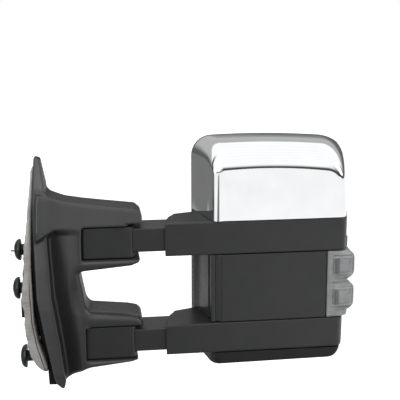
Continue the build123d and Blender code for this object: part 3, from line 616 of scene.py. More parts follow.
for subpart in frame["record"]["subparts"]:
    slots = NODES[subpart["node"]].data.materials
    slots.clear()
    slots.append(MATERIALS[subpart["material_slot"]])
NODES["frame_screws"].data.materials[0] = MATERIALS["black_coat"]

# ================================================================= head skin
# y, inboard x, outboard x, top z, bottom z, then the corner radii:
# inboard bottom, inboard top, outboard top, outboard bottom
SECTIONS = np.array([
    (-35.0, 313.0, 506.0, 145.0, -162.0, 7, 9, 22, 12),
    (-33.6, 307.0, 511.0, 153.0, -165.6, 9, 14, 29, 15),
    (-30.0, 303.0, 514.5, 160.5, -167.8, 11, 19, 35, 18),
    (-22.0, 300.0, 518.0, 169.5, -169.2, 9, 24, 41, 21),
    (-8.0, 297.5, 522.5, 178.0, -170.3, 9, 28, 45, 24),
    (12.0, 293.3, 529.0, 183.2, -171.0, 11, 31, 48, 26),
    (40.0, 287.4, 538.0, 185.4, -171.6, 16, 33, 50, 29),
    (67.3, 282.2, 546.0, 186.0, -172.0, 24, 34, 52, 32),
], float)
# running length over the top of the head, from front to back
SECTION_RUN = np.concatenate(
    [[0], np.cumsum(np.sqrt(np.diff(SECTIONS[:, 0]) ** 2 + np.diff(SECTIONS[:, 3]) ** 2))])
FRONT_END = 3       # the row where the tightly curved front edge ends
SIDE_POINTS = 44    # per side of a section
CORNER_POINTS = 26  # per corner of a section
# sizes of the rings that close the front, as shares of the first section
FACE_RINGS = (0.1, 0.22, 0.36, 0.5, 0.64, 0.76, 0.86, 0.93, 0.955, 0.966, 0.972, 0.978, 0.984,
              0.99, 0.995)
SKIN_THICKNESS = 2.6


def head_sections(front_count, side_count):
    split = SECTION_RUN[FRONT_END]
    wanted = np.concatenate([np.linspace(0, split, front_count)[:-1],
                             np.linspace(split, SECTION_RUN[-1], side_count)])
    return natural_spline(SECTION_RUN, SECTIONS, wanted)


def section_outline(x_in, x_out, z_top, z_bottom, *radii):
    """One section as (x, z) points: corners from inboard bottom, up and round to outboard."""
    bottom_in, top_in = (x_in, z_bottom), (x_in + 1.5, z_top - 3.0)
    top_out, bottom_out = (x_out - 6.0, z_top - 9.0), (x_out - 8.0, z_bottom + 2.0)
    dense = 240
    sides = [
        np.linspace(bottom_in, top_in, dense),
        arc_through(top_in, (x_in * 0.62 + x_out * 0.38, z_top), top_out, dense),
        arc_through(top_out, (x_out, 8.0), bottom_out, dense),
        np.linspace(bottom_out, bottom_in, dense),
    ]
    runs = [np.concatenate([[0], np.cumsum(np.linalg.norm(np.diff(side, axis=0), axis=1))])
            for side in sides]
    # corner k joins the end of side k - 1 to the start of side k
    start, end = [0.0] * 4, [0.0] * 4
    for k in range(4):
        back = sides[k - 1][-20] - sides[k - 1][-1]
        ahead = sides[k][19] - sides[k][0]
        back, ahead = back / np.linalg.norm(back), ahead / np.linalg.norm(ahead)
        half_angle = math.acos(float(np.clip(back @ ahead, -1, 1))) / 2
        start[k] = end[k - 1] = radii[k] / math.tan(half_angle)

    def at(k, distance):
        return np.array([np.interp(distance, runs[k], sides[k][:, j]) for j in (0, 1)])

    points = []
    for k in range(4):
        leave = runs[k - 1][-1] - end[k - 1]
        p0, p3 = at(k - 1, leave), at(k, start[k])
        heading_in = p0 - at(k - 1, leave - 0.5)
        heading_out = at(k, start[k] + 0.5) - p3
        heading_in = heading_in / np.linalg.norm(heading_in)
        heading_out = heading_out / np.linalg.norm(heading_out)
        turn = math.acos(float(np.clip(heading_in @ heading_out, -1, 1)))
        handle = 4 / 3 * math.tan(turn / 4) * np.linalg.norm(p3 - p0) / (2 * math.sin(turn / 2))
        p1, p2 = p0 + heading_in * handle, p3 - heading_out * handle
        for j in range(CORNER_POINTS):
            t = j / CORNER_POINTS
            points.append((1 - t) ** 3 * p0 + 3 * (1 - t) ** 2 * t * p1
                          + 3 * (1 - t) * t * t * p2 + t ** 3 * p3)
        straight = runs[k][-1] - start[k] - end[k]
        points += [at(k, start[k] + straight * j / SIDE_POINTS) for j in range(SIDE_POINTS)]
    return np.array(points)


def head_skin(crown):
    """The head's outer skin, with a closed front crowned by `crown` and an open back."""
    rings = []
    for row in head_sections(22, 25):
        section = section_outline(*row[1:])
        rings.append(np.column_stack([section[:, 0], np.full(len(section), row[0]),
                                      section[:, 1]]))
    first = rings[0]
    centre = first.mean(0)
    front_y = first[0, 1]
    face_rings = []
    for share in FACE_RINGS:
        ring = centre + (first - centre) * share
        ring[:, 1] = front_y - crown * (1 - share ** 2.2)
        face_rings.append(ring)
    rings = face_rings + rings
    count = len(first)
    points = [np.array([centre[0], front_y - crown, centre[2]])]
    points += [point for ring in rings for point in ring]
    faces = [(0, 1 + j, 1 + (j + 1) % count) for j in range(count)]
    for i in range(len(rings) - 1):
        a, b = 1 + i * count, 1 + (i + 1) * count
        for j in range(count):
            k = (j + 1) % count
            faces.append((a + j, b + j, b + k, a + k))
    return points, faces


def raise_pillar(points):
    """Stands an upright pillar proud down the front's inboard edge, with a slanted side."""
    for point in points:
        x, y, z = point
        if y < -22.0 and 303.0 < x < 320.0 and z > 60:
            fade = min(max((151.0 - z) / 9.0, 0.0), 1.0) * min(max((-22.0 - y) / 8.0, 0.0), 1.0)
            point[1] -= 2.5 * fade * min(max((319.4 - x) / 5.6, 0.0), 1.0)


def add_cut_shell(name, skin, cut_z, cut_side, rim, material, replaced):
    """Cuts the skin level at cut_z, dropping what lies on the cut_side (+1 above, -1 below),
    then gives it thickness and a rounded rim."""
    points, faces = skin
    mesh = bpy.data.meshes.new(name)
    mesh.from_pydata([tuple(point) for point in row_frame(points)], [], faces)
    bm = bmesh.new()
    bm.from_mesh(mesh)
    bmesh.ops.bisect_plane(bm, geom=bm.verts[:] + bm.edges[:] + bm.faces[:],
                           plane_co=row_frame((0, 0, cut_z)), plane_no=(0, 0, cut_side),
                           clear_outer=True, dist=1e-6)
    bmesh.ops.recalc_face_normals(bm, faces=bm.faces[:])
    # the skin is open, so make sure that its faces look outward
    middle = sum((face.calc_center_median() for face in bm.faces), Vector()) / len(bm.faces)
    outward = sum((face.calc_center_median() - middle).dot(face.normal) * face.calc_area()
                  for face in bm.faces)
    if outward < 0:
        bmesh.ops.reverse_faces(bm, faces=bm.faces[:])
    for face in bm.faces:
        face.smooth = True
    bm.to_mesh(mesh)
    bm.free()
    shell = add_object(name, mesh, material, "head", replaced)
    solid = shell.modifiers.new("thickness", "SOLIDIFY")
    solid.thickness = SKIN_THICKNESS / 1000.0
    solid.offset = -1.0
    solid.use_rim = True
    bevel = shell.modifiers.new("rim", "BEVEL")
    bevel.width = rim / 1000.0
    bevel.segments = 2
    bevel.limit_method = "ANGLE"
    bevel.angle_limit = math.radians(50)
    bevel.harden_normals = True


cap_skin = head_skin(crown=1.0)
raise_pillar(cap_skin[0])
add_cut_shell("chrome_cap_shell", cap_skin, cut_z=65.0, cut_side=-1, rim=0.5,
              material=MATERIALS["bright_chrome"], replaced="chrome_cap")
add_cut_shell("bottom_cover_shell", head_skin(crown=0.3), cut_z=-147.7, cut_side=1, rim=0.6,
              material=MATERIALS["bottom_plastic"], replaced="bottom_cover")

# ======================================================== bands with sleeves
# (x, y) in plan: the band's back inboard end, then the sleeve that takes the arm tube
BAND_INBOARD = [(282.4, 67.3), (285.2, 50.0), (248.5, 35.5), (247.0, 30.0), (239.0, 15.0),
                (233.2, -7.0), (230.0, -35.0)]
BAND_HOLLOW = [(304.0, -28.0), (500.0, -29.0), (512.0, -20.0), (524.0, 12.0), (541.5, 80.0),
               (287.0, 80.0), (290.0, 45.0)]


def band_plan(z):
    """Plan outline of a band at height z; its outboard side follows the head skin."""
    points = []
    for row in head_sections(16, 26):
        section = section_outline(*row[1:])
        near = np.abs(section[:, 1] - z) < 9.0
        points.append((section[near, 0].max(), row[0]))
    return np.array(points + BAND_INBOARD)


def add_band(level):
    z_low, z_high = BAND_Z[level]
    plan = band_plan((z_low + z_high) / 2)

    def field(x, y, z):
        xyz = (x, y, z)
        band = intersect(outline(x, y, plan), slab(z, z_low, z_high), 2.6)
        # the head side is hollow, but for a block that guides the tube
        hollow = intersect(outline(x, y, BAND_HOLLOW), slab(z, z_low - 40, z_high + 40), 0.5)
        guide = box(xyz, (290, -40, z_low), (396, 35, z_high))
        band = carve(band, carve(hollow, guide))
        bore = box(xyz, (200, -31.5, z_low + 3.5), (398, 31.5, z_high - 3.5), 2.0)
        band = carve(band, np.maximum(bore, 249.0 - x))
        return carve(band, tube_hole(xyz, level, 200, 400, clearance=0.6, edge=2.5), 0.8)

    add_field_piece(f"{level}_band_shell", field, (224, -40, z_low - 4), (552, 72, z_high + 4),
                    1.15, MATERIALS["black_plastic"], "head", f"{level}_band_sleeve")


for level in BAND_Z:
    add_band(level)


# ================================================================== knuckles
def add_knuckle(level):
    z_low, z_high = KNUCKLE_Z[level]

    def field(x, y, z):
        radius = pivot_distance(x, y)
        ends = np.where(x < PIVOT_X, radius - 47.5, x - 184.0)
        sides = slab(y, -31.0, 31.0)
        # softer edges outboard of the pivot than round the hinge end
        plan = np.where(x > PIVOT_X, intersect(sides, ends, 6.5), intersect(sides, ends, 2.2))
        knuckle = intersect(plan, slab(z, z_low, z_high), 1.8)
        knuckle = carve(knuckle, radius - 8.05)
        counterbore = np.maximum(radius - 18.0, (z_high - 27.0) - z)
        knuckle = carve(knuckle, counterbore)
        socket = tube_hole((x, y, z), level, 162.8, 220, clearance=0.15, edge=2.6)
        return carve(knuckle, socket, 0.8)

    add_field_piece(f"{level}_knuckle_body", field, (90, -35, z_low - 3), (188, 35, z_high + 3),
                    0.95, MATERIALS["black_plastic"], "arms", f"{level}_knuckle")


for level in KNUCKLE_Z:
    add_knuckle(level)

# ================================================================ base cover
# outlines as (x, z, corner radius), seen from the front
FLANGE_FRONT = [
    (34.0, 162.5, 3), (43.5, 158, 3), (50.5, 118, 8), (51.5, 99, 20), (53.6, 44, 40),
    (58, -44, 60), (68, -114, 40), (74.5, -174, 6), (71, -189, 3), (59.0, -178, 8),
    (45.0, -106, 60), (34.8, -43, 80), (33.0, 44, 60), (32.5, 100, 40)]
EARS = [
    # upper ear, above its knuckle
    [(40, 112, 0), (54, 108, 30), (80, 98.5, 30), (133, 91.5, 40), (187, 85.0, 7),
     (196.0, 77, 5), (197, 60.5, 1), (84, 60.5, 0), (40, 60.5, 0)],
    # upper ear, below its knuckle
    [(44, 10.3, 0), (192.5, 10.3, 1), (190, 3.5, 5), (178, -1.2, 12), (104, -8, 40),
     (84, -15, 20), (44, -27, 0)],
    # lower ear, above its knuckle
    [(58, -50, 0), (104, -66, 10), (117, -72, 20), (173, -77.5, 30), (188, -81, 8),
     (194, -87.5, 5), (195.3, -97.3, 1), (58, -97.3, 0)],
    # lower ear, below its knuckle
    [(58, -150.2, 0), (188, -150.2, 1), (184.5, -153.5, 3), (176, -156, 10),
     (106, -163.5, 14), (84, -176, 30), (67, -190, 3), (58, -186, 0)],
]
WEB = [
    (40, 104, 0), (106, 92, 10), (106, 10, 6), (98.5, -8, 6), (100, -16, 6), (107.5, -60, 8),
    (114, -74, 6), (112, -160, 8), (88, -172, 20), (66, -189, 4), (46, -120, 30), (36, 0, 60)]
# (y, z, corner radius), seen from the side
FLANGE_SIDE = [
    (24, 163, 3), (47, 163, 8), (66, 60, 60), (70, -60, 80), (66, -150, 30), (46, -191, 12),
    (-50, -191, 8), (-60, -165, 20), (-57, -60, 60), (-45, 40, 60), (-28, 98, 60)]
# z, x of the flange's outboard edge
FLANGE_EDGE = [(-189, 73), (-174, 74.5), (-114, 68), (-44, 58), (44, 53.6), (99, 51.5),
               (118, 50.5), (162, 44)]
# z, y of the flange's front face
FLANGE_FACE = [(-191, -51), (-165, -60), (-60, -57), (0, -51), (40, -45), (62, -40),
               (98, -28), (163, 24)]
# x, half depth of the body along y where it isn't scooped
BODY_HALF_DEPTH = [(30, 56), (46, 50), (56, 45), (66, 42.0), (78, 40.0), (92, 38.6),
                   (104, 37.6), (200, 37.5)]
# the open back: (x, z) from the front, (y, z) from the side, and an (x, y) core in plan
BACK_FRONT = [(20, 150), (38, 150), (40, 60), (43, -60), (51, -110), (64, -168), (20, -170)]
BACK_SIDE = [(28, 152), (40, 152), (55, 55), (58, -60), (54, -150), (40, -176), (-36, -176),
             (-44, -160), (-42, -60), (-32, 40), (-12, 88)]
BACK_CORE = [(20, -17), (50, -17), (70, -13), (80, -8), (82, 10), (74, 28), (52, 42), (20, 46)]


def base_flange(x, y, z):
    front = outline(x, z, rounded(FLANGE_FRONT))
    side = outline(y, z, rounded(FLANGE_SIDE))
    flange = intersect(front, side, 2.2)
    # the front face leans inboard, so it stands proud of the scoop
    front_face = along(z, FLANGE_FACE) + (along(z, FLANGE_EDGE) - x) * 0.30 - y
    return intersect(flange, front_face * 0.95, 2.0)


def smoothed_half_depth(x):
    """BODY_HALF_DEPTH with its bends smoothed by a bell-shaped kernel."""
    stations = np.linspace(30, 200, 171)
    depths = np.interp(stations, *np.transpose(BODY_HALF_DEPTH))
    kernel = np.exp(-(np.arange(-14, 15) / 5.0) ** 2)
    kernel /= kernel.sum()
    depths = np.convolve(np.pad(depths, 14, mode="edge"), kernel, "valid")
    return along(x, np.column_stack([stations, depths]))


def base_half_depth(x, y, z):
    """Half the body's depth along y: scooped towards the flange, fuller high up and behind."""
    full = smoothed_half_depth(x)
    scoop_start = along(z, FLANGE_EDGE) + 4.0
    out = unit((x - scoop_start) / (104.0 - scoop_start))
    scooped = 21.5 + 16.0 * (out ** 1.15 * (1 - out) + out * (1 - (1 - out) ** 1.6))
    fullness = unit((z - 49.0 + np.maximum(64.0 - x, 0) * 0.6) / 14.0)
    fullness = fullness * fullness * (3 - 2 * fullness)
    fullness = np.maximum(fullness, unit(y / 10.0 + 0.5))
    waist = unit(1 - np.abs(z + 36.0) / 40.0) * unit((x - 84.0) / 16.0) * 6.5
    top_lean = np.maximum(z - 58.0, 0) * 0.34 * unit((8.0 - y) / 16.0)
    return scooped + (full - scooped) * fullness - waist - top_lean


def base_body(x, y, z):
    """The ears and the web between them, with edges crisper up high and softer low down."""
    ears = [outline(x, z, rounded(ear)) for ear in EARS]
    ears = np.minimum(np.minimum(ears[0], ears[1]), np.minimum(ears[2], ears[3]))
    form = blend(ears, outline(x, z, rounded(WEB)), 5.0)
    sides = (np.abs(y) - base_half_depth(x, y, z)) * 0.80
    soft = unit(1 - np.abs(z + 78.0) / 18.0) * unit((x - 60.0) / 25.0)
    crisp = unit((z - 40.0) / 20.0)
    return (intersect(form, sides, 7.0) * (1 - soft) * (1 - crisp)
            + intersect(form, sides, 12.0) * soft + intersect(form, sides, 3.5) * crisp)


def base_field(x, y, z):
    flange, body = base_flange(x, y, z), base_body(x, y, z)
    high = unit((z - 25) / 40)
    base = blend(flange, body, 4.0) * (1 - high) + blend(flange, body, 9.0) * high
    # hinge pockets, open at the front, the back and outboard
    radius = pivot_distance(x, y)
    swing = np.minimum(radius - 51.0, np.maximum(PIVOT_X - x, np.abs(y) - 90.0))
    for z_low, z_high in KNUCKLE_Z.values():
        pocket = np.maximum(swing, slab(z, z_low - 0.55, z_high + 0.55))
        base = carve(base, pocket, 1.6)
    # relief outboard, just above the upper knuckle
    relief = np.maximum(np.maximum(44.0 - radius, 122.0 - x), slab(z, 56.0, 65.3))
    base = carve(base, relief, 1.0)
    for z_low, z_high in ((-4.0, 81.0), (-157.0, -82.0)):
        base = carve(base, np.maximum(radius - 8.0, slab(z, z_low, z_high)))
    back = np.maximum(outline(x, z, rounded(BACK_FRONT, 4)), outline(y, z, rounded(BACK_SIDE, 6)))
    base = carve(base, back, 1.5)
    core = intersect(outline(x, y, rounded(BACK_CORE, 4)), slab(z, -152, 84), 3.0)
    return carve(base, core, 1.5)


add_field_piece("base_cover_shell", base_field, (26, -72, -196), (196, 76, 174), 1.25,
                MATERIALS["base_plastic"], "base", "base_cover")

# ============================================================== middle panel
# (x, y) in plan: front face towards inboard, round the rolled edge, then the back face
PANEL_PLAN = [
    (483.9, -34.0), (400, -34.6), (318, -34.4), (315.2, -33.8), (312.8, -31.6),
    (310.8, -30.0), (308.6, -31.0), (306.4, -32.9), (303.6, -33.3), (301.2, -31.4),
    (300.6, -27.5), (302.6, -22.5), (303.2, -17.0), (301.6, -12.0), (298.9, -8.6),
    (301.4, -7.2), (304.2, -11.0), (306.0, -17.5), (305.4, -24.0), (304.6, -28.6),
    (308, -27.8), (313, -27.4), (318, -31.0), (400, -32.0), (483.9, -31.4)]


def panel_field(x, y, z):
    return intersect(outline(x, y, PANEL_PLAN), slab(z, -97.1, 11.1), 0.9)


add_field_piece("front_panel_shell", panel_field, (296, -37, -99), (487, -5, 13), 0.8,
                MATERIALS["black_plastic"], "head", "front_panel")

# =============================================================== marker lens
# (x, y, corner radius) in plan
LENS_PLAN = [(485.7, -34.4, 0.5), (508, -34.4, 10), (519, -29, 8), (524.0, -18, 10),
             (526.5, 0, 10), (528.0, 14, 10), (529.0, 29, 1), (485.7, 29, 0.5)]
LENS_WALL = 2.2
LENS_BACK_Y = 29.0
BULGE_Z = (-13.0, -64.0)


def lens_bulge(x, y, z, centre_z):
    bulge = box((x, y, z), (492.5, -39.0, centre_z - 22.5), (533.6, 26.0, centre_z + 22.5), 12.0)
    # slanted outboard corners, above and below, then at the front
    bulge = intersect(bulge, (x - 514) * 0.62 + np.abs(z - centre_z) * 0.78 - 25.2, 6.0)
    return intersect(bulge, (x - 514) * 0.70 - (y + 10) * 0.71 - 27.0, 8.0)


def lens_relief(x, y, z):
    """Ribbed inboard strip, stepped frames, cross-hatching and fine lines, as a height."""
    strip = unit(1 - np.abs(x - 489.0) / 3.4)
    ribs = wave(z, 2.9) * 0.6 * np.minimum(strip * 3, 1)
    frames = 0
    for centre_z in BULGE_Z:
        rim = np.maximum(np.abs(x - 512.0) - 15.0, np.abs(z - centre_z) - 15.5)
        steps = np.exp(-(rim / 0.9) ** 2) + np.exp(-((rim + 4.6) / 0.9) ** 2)
        frames = frames + np.where(y < 0, steps * 1.25, 0)
    hatching = wave(x + z, 4.2) * wave(x - z, 4.2) * unit((x - 516.0) / 4.0) * 0.30
    from_gap = np.minimum(np.abs(z + 38.5), np.minimum(np.abs(z - 8), np.abs(z + 95)))
    lines = wave(z, 4.6) * 0.22 * unit(1 - from_gap / 7.0)
    return ribs, frames, hatching, lines


def lens_field(x, y, z):
    plan = outline(x, y, rounded(LENS_PLAN))
    lens = intersect(plan, slab(z, -97.0, 11.0), 1.2)
    hollow = intersect(plan + LENS_WALL, slab(z, -95.0, 9.0), 1.0)
    for centre_z in BULGE_Z:
        bulge = lens_bulge(x, y, z, centre_z)
        lens = blend(lens, bulge, 5.0)
        hollow = np.minimum(hollow, np.maximum(bulge + LENS_WALL, 487.4 - x))
    lens = intersect(lens, slab(z, -97.0, 11.0), 0.8)
    for height in lens_relief(x, y, z):
        lens = lens + height
    return np.maximum(carve(lens, hollow), y - LENS_BACK_Y)


add_field_piece("marker_lens_moulding", lens_field, (482, -43, -100), (541, 31, 14), 0.75,
                MATERIALS["clear_lens"], "head", "marker_lens")

# ================================================================== door pad
# (x, z, corner radius): down the door side, then up the outboard side
PAD_FRONT = [
    (31.5, 147, 2), (29.3, 141, 6), (26.0, 98, 40), (20.2, 40, 40), (17.8, 19, 30),
    (16.6, -8, 30), (13.6, -36, 8), (10.8, -48, 4), (12.8, -56, 4), (16.0, -64, 8),
    (16.0, -90, 40), (17.8, -117, 20), (22.5, -134, 14), (31.0, -150, 12), (39.5, -158.5, 8),
    (47.5, -163, 3), (47.0, -152, 2), (42.0, -135, 20), (34.5, -112, 20), (29.6, -80, 20),
    (29.2, -44, 30), (28.2, -8, 30), (28.6, 19, 30), (30.5, 60, 30), (34.0, 146, 2)]
# (y, z) outlines of the whole pad and of the window through its top
PAD_SIDE = [(30, 150), (40, 150), (56, 55), (59, -60), (55, -152), (40, -170), (-40, -170),
            (-48, -155), (-48, -60), (-42, 40), (-22, 92)]
PAD_WINDOW = [(14, 122), (36, 126), (44, 60), (-22, 60), (-10, 92)]
PAD_SMALL_HOLES = ((-28.0, 10.0), (38.0, 30.0), (-30.0, -110.0), (38.0, -110.0))    # y, z
# z, x of the seam between the two layers of foam
PAD_SEAM = [(-160, 44.6), (-150, 41.5), (-117, 32.2), (-80, 26.4), (-44, 25.4), (20, 25.0),
            (60, 27.0), (146, 31.5)]


def pad_wrinkles(x, y, z):
    """Broad, fine and level wrinkles; each factor on a coordinate is in radians per mm."""
    broad = np.sin(y * 0.31 + z * 0.12) * np.sin(z * 0.23 - y * 0.07 + x * 0.1) * 0.8
    fine = np.sin(y * 0.83 + z * 0.47) * np.sin(z * 0.61 - y * 0.29) * 0.42
    level_folds = np.sin(z * 0.105 + 1.3) * 0.5
    return broad + fine + level_folds


def pad_field(x, y, z):
    pad = intersect(outline(x, z, rounded(PAD_FRONT)), outline(y, z, rounded(PAD_SIDE, 14)), 5.0)
    pad = carve(pad, outline(y, z, rounded(PAD_WINDOW, 8)), 2.0)
    for stud in STUDS:
        pad = carve(pad, cylinder_x(y, z, stud, 9.8), 2.5)
    pad = carve(pad, cylinder_x(y, z, (26.0, -8.0), 11.0), 2.0)
    # recess in the door side, towards the back
    pad = carve(pad, box((x, y, z), (0, 19.5, -120), (20.4, 40, -6), 3.0), 1.5)
    for hole in PAD_SMALL_HOLES:
        pad = carve(pad, cylinder_x(y, z, hole, 6.2))
    pad = pad + pad_wrinkles(x, y, z) * unit((27.0 - x) / 6.0)
    seam = np.maximum(np.abs(x - along(z, PAD_SEAM)) - 0.7, (y + 43.0) * 0.5)
    return carve(pad, seam)


add_field_piece("door_pad_foam", pad_field, (7, -52, -174), (52, 63, 154), 1.2,
                MATERIALS["foam_grey"], "base", "door_pad")

# ============================================================ stud hand nuts
NUT_SIZES = ((1.5, 24.5, 16.6), (-3.0, 24.5, 17.2), (3.5, 33.5, 18.4))  # face x, neck x, radius
NUT_SEGMENTS = 60
PROFILE_STEPS = 3
FLUTE_COUNT = 12
FLUTE_DEPTH = 0.45


def nut_profile(face, neck, rim):
    """(x, radius) points: the domed face, round the rim, then along the neck."""
    corners = [(face + 0.2, 3.0), (face, 5.5), (face + 0.5, 8.2), (face + 1.5, rim * 0.66),
               (face + 3.0, rim * 0.82), (face + 5.0, rim * 0.93), (face + 7.2, rim * 0.99),
               (face + 8.6, rim), (face + 9.6, rim * 0.985), (face + 10.0, rim * 0.94),
               (face + 9.8, rim * 0.86), (face + 9.2, rim * 0.72), (face + 9.4, 9.6),
               (face + 11.5, 8.6), (neck - 1.0, 8.4), (neck, 7.6), (neck, 3.0)]
    profile = []
    for (x0, r0), (x1, r1) in zip(corners[:-1], corners[1:]):
        profile += [(x0 + (x1 - x0) * k / PROFILE_STEPS, r0 + (r1 - r0) * k / PROFILE_STEPS)
                    for k in range(PROFILE_STEPS)]
    return profile + corners[-1:]


def add_hand_nuts():
    """Turned nuts about axes along x, with shallow finger flutes round the rim."""
    points, faces = [], []
    for (y, z), sizes in zip(STUDS, NUT_SIZES):
        first = len(points)
        profile = nut_profile(*sizes)
        for i, (x, radius) in enumerate(profile):
            near_rim = min(max((radius - 12.0) / 3.0, 0.0), 1.0)
            this_row = first + i * NUT_SEGMENTS
            next_row = first + (i + 1) % len(profile) * NUT_SEGMENTS
            for k in range(NUT_SEGMENTS):
                angle = 2 * math.pi * k / NUT_SEGMENTS
                flute = max(0.0, math.cos(angle * FLUTE_COUNT)) ** 4
                fluted = radius - FLUTE_DEPTH * flute * near_rim
                points.append((x, y + fluted * math.cos(angle), z + fluted * math.sin(angle)))
                after = (k + 1) % NUT_SEGMENTS
                faces.append((this_row + k, this_row + after, next_row + after, next_row + k))
    name = "stud_hand_nuts_moulded"
    mesh = bpy.data.meshes.new(name)
    mesh.from_pydata([tuple(point) for point in row_frame(points)], [], faces)
    mesh.update()
    mesh.polygons.foreach_set("use_smooth", [True] * len(mesh.polygons))
    add_object(name, mesh, MATERIALS["black_gloss"], "base", "stud_hand_nuts")


add_hand_nuts()

# ===================================================================== stage
scene = bpy.context.scene
scene.view_settings.view_transform = "Standard"
scene.view_settings.look = "None"
scene.view_settings.exposure = 0.0

FLOOR_HALF = 30.0   # metres
FLOOR_Z = -0.55


def add_camera():
    data = bpy.data.cameras.new("camera")
    data.sensor_width = 36.0
    data.lens = 74.97
    data.clip_end = 60.0
    camera = bpy.data.objects.new("camera", data)
    scene.collection.objects.link(camera)
    yaw, pitch, roll = math.radians(7.15), math.radians(11.3), math.radians(-0.3)
    forward = Vector((math.sin(yaw) * math.cos(pitch), math.cos(yaw) * math.cos(pitch),
                      -math.sin(pitch)))
    level_right = Vector((math.cos(yaw), -math.sin(yaw), 0.0))
    level_up = level_right.cross(forward)
    right = level_right * math.cos(roll) + level_up * math.sin(roll)
    up = -level_right * math.sin(roll) + level_up * math.cos(roll)
    turn = Matrix((right, up, -forward)).transposed().to_4x4()
    place = Vector(row_frame((130.0, -1262.0, 346.0)))
    camera.matrix_world = Matrix.Translation(place) @ turn
    scene.camera = camera


def build_floor(nodes, feed, vector):
    """Pale to the camera; to all other rays it falls off to painted grey shade in three areas, one
    of them a painted shadow under the mirror.
    """
    tone = nodes.noise(vector, scale=0.8, detail=3.0, roughness=0.5)
    pale = nodes.two_tone(tone, (0.86, 0.86, 0.86), (0.90, 0.90, 0.90))
    x, y, _ = nodes.split(vector)
    # painted shade on the floor ahead, seen only in reflections and bounce light
    ahead = nodes.mul(nodes.fall(x, 0.25, 0.75), nodes.rise(x, -1.1, -0.6),
                      nodes.fall(y, -0.4, 0.6))
    # painted shade far out inboard
    painted_shade_far_inboard = nodes.mul(nodes.fall(x, -1.3, -0.5), nodes.rise(y, 0.1, 0.8))
    # a painted shadow under the mirror, like a contact shadow
    painted_shadow_under = nodes.mul(nodes.fall(x, 0.8, 1.3), nodes.rise(y, -1.3, -0.7),
                      nodes.fall(y, 0.6, 1.6))
    # the least painted shade the other rays see, all over the floor
    least_painted_shade = 0.13
    grey = nodes.math("MAXIMUM", ahead, painted_shade_far_inboard, nodes.mul(painted_shadow_under, 0.75), least_painted_shade)
    rays = nodes.add("LightPath")
    mix = nodes.add("Mix")
    mix.data_type = "RGBA"
    nodes.feed(mix.inputs[0], nodes.mul(grey, nodes.invert(rays.outputs["Is Camera Ray"])))
    nodes.feed(mix.inputs[6], pale)
    nodes.feed(mix.inputs[7], (0.13, 0.13, 0.13, 1.0))
    feed("Base Color", mix.outputs[2])
    feed("Roughness", 0.9)
    feed("Specular IOR Level", 0.1)
    feed("Emission Color", mix.outputs[2])
    feed("Emission Strength", 0.35)


def add_floor():
    mesh = bpy.data.meshes.new("floor")
    corners = [(x * FLOOR_HALF, y * FLOOR_HALF, FLOOR_Z)
               for x, y in ((-1, -1), (1, -1), (1, 1), (-1, 1))]
    mesh.from_pydata(corners, [], [(0, 1, 2, 3)])
    floor = bpy.data.objects.new("floor", mesh)
    scene.collection.objects.link(floor)
    mesh.materials.append(node_material("pale_floor", build_floor))


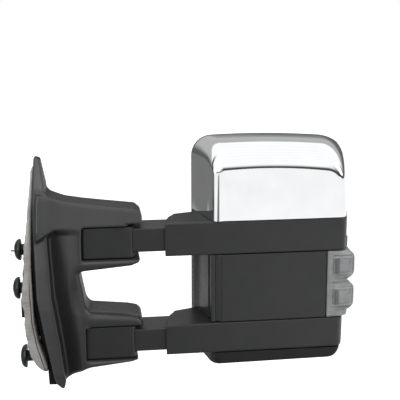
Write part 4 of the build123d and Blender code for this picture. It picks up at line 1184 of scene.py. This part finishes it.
def dome_level(nodes):
    """Brightness of the studio dome by direction; angles are in degrees."""
    mul, math_node, window = nodes.mul, nodes.math, nodes.smooth_window
    degrees = 57.2958
    x, y, z = nodes.split(nodes.add("TexCoord").outputs["Generated"])
    elevation = mul(math_node("ARCSINE", z), degrees)
    outboard = mul(math_node("ARCTAN2", x, mul(y, -1.0)), degrees)  # 0 ahead, 90 to +X
    inboard = mul(outboard, -1.0)
    overhead = mul(math_node("ARCTAN2", z, mul(y, -1.0)), degrees)  # 0 ahead, 180 behind

    # a wide soft box from just above the horizon ahead, over the top and a little way behind
    soft_box = mul(window(overhead, 8.0, 144.0, soft=3.0),
                   nodes.invert(nodes.step(math_node("ABSOLUTE", x), 0.86, 0.96)))
    # its inboard wing, which lights the head's inboard corner
    wing = mul(window(elevation, -30.0, 62.0, soft=3.0), window(inboard, 28.0, 98.0, soft=3.0))
    lit = math_node("MAXIMUM", soft_box, wing)
    ambient = math_node("ADD", 0.13, mul(nodes.step(elevation, 5.0, 17.0), 0.42))
    slow = math_node("SINE", math_node("ADD", mul(overhead, 0.42), mul(x, 2.2)))
    quick = math_node("SINE", mul(overhead, 1.1))
    streaks = math_node("ADD", mul(slow, 0.035), mul(quick, 0.025))
    level = math_node("ADD", mul(lit, math_node("ADD", 0.72, streaks)), ambient)

    # dark gaps: at the horizon ahead, low on the outboard side, low beyond the wing
    ahead_gap = mul(window(elevation, 2.5, 6.0, soft=1.2),
                    nodes.invert(nodes.step(math_node("ABSOLUTE", outboard), 30.0, 55.0)))
    outboard_gap = mul(window(outboard, 30.0, 64.0, soft=4.0),
                       nodes.invert(nodes.step(elevation, 8.0, 30.0)))
    inboard_gap = mul(window(inboard, 101.0, 118.0, soft=2.5),
                      nodes.invert(nodes.step(elevation, 30.0, 60.0)))
    side_gaps = math_node("MAXIMUM", mul(outboard_gap, 0.6), mul(inboard_gap, 0.9))
    dark = math_node("MAXIMUM", mul(ahead_gap, 0.52), side_gaps)
    return mul(level, nodes.invert(dark))


def add_world():
    """The studio dome lights the scene; the camera itself sees plain white."""
    world = bpy.data.worlds.new("studio")
    scene.world = world
    world.use_nodes = True
    nodes = Nodes(world.node_tree)
    level = dome_level(nodes)
    dome = nodes.add("Background")
    grey = nodes.add("CombineColor")
    for channel in range(3):
        nodes.feed(grey.inputs[channel], level)
    nodes.feed(dome.inputs[0], grey.outputs[0])
    white = nodes.add("Background")
    nodes.feed(white.inputs[0], (1, 1, 1, 1))
    rays = nodes.add("LightPath")
    mix = nodes.add("MixShader")
    nodes.feed(mix.inputs[0], rays.outputs["Is Camera Ray"])
    nodes.feed(mix.inputs[1], dome.outputs[0])
    nodes.feed(mix.inputs[2], white.outputs[0])
    nodes.feed(nodes.add("OutputWorld").inputs[0], mix.outputs[0])


def add_area_light(name, location, target, size, power):
    data = bpy.data.lights.new(name, "AREA")
    data.energy = power
    data.shape = "RECTANGLE"
    data.size = size
    data.size_y = size
    light = bpy.data.objects.new(name, data)
    scene.collection.objects.link(light)
    light.location = location
    aim = Vector(target) - Vector(location)
    light.rotation_euler = aim.to_track_quat("-Z", "Y").to_euler()


add_camera()
add_floor()
add_world()
add_area_light("key_overhead", location=(-0.5, -1.0, 1.7), target=(0.25, 0.0, 0.0),
               size=1.4, power=14.0)
add_area_light("fill_left", location=(-1.45, -1.15, 0.50), target=(0.08, 0.0, 0.02),
               size=0.8, power=11.0)
add_area_light("fill_right", location=(1.9, -0.7, 0.8), target=(0.3, 0.0, 0.0),
               size=1.0, power=7.0)
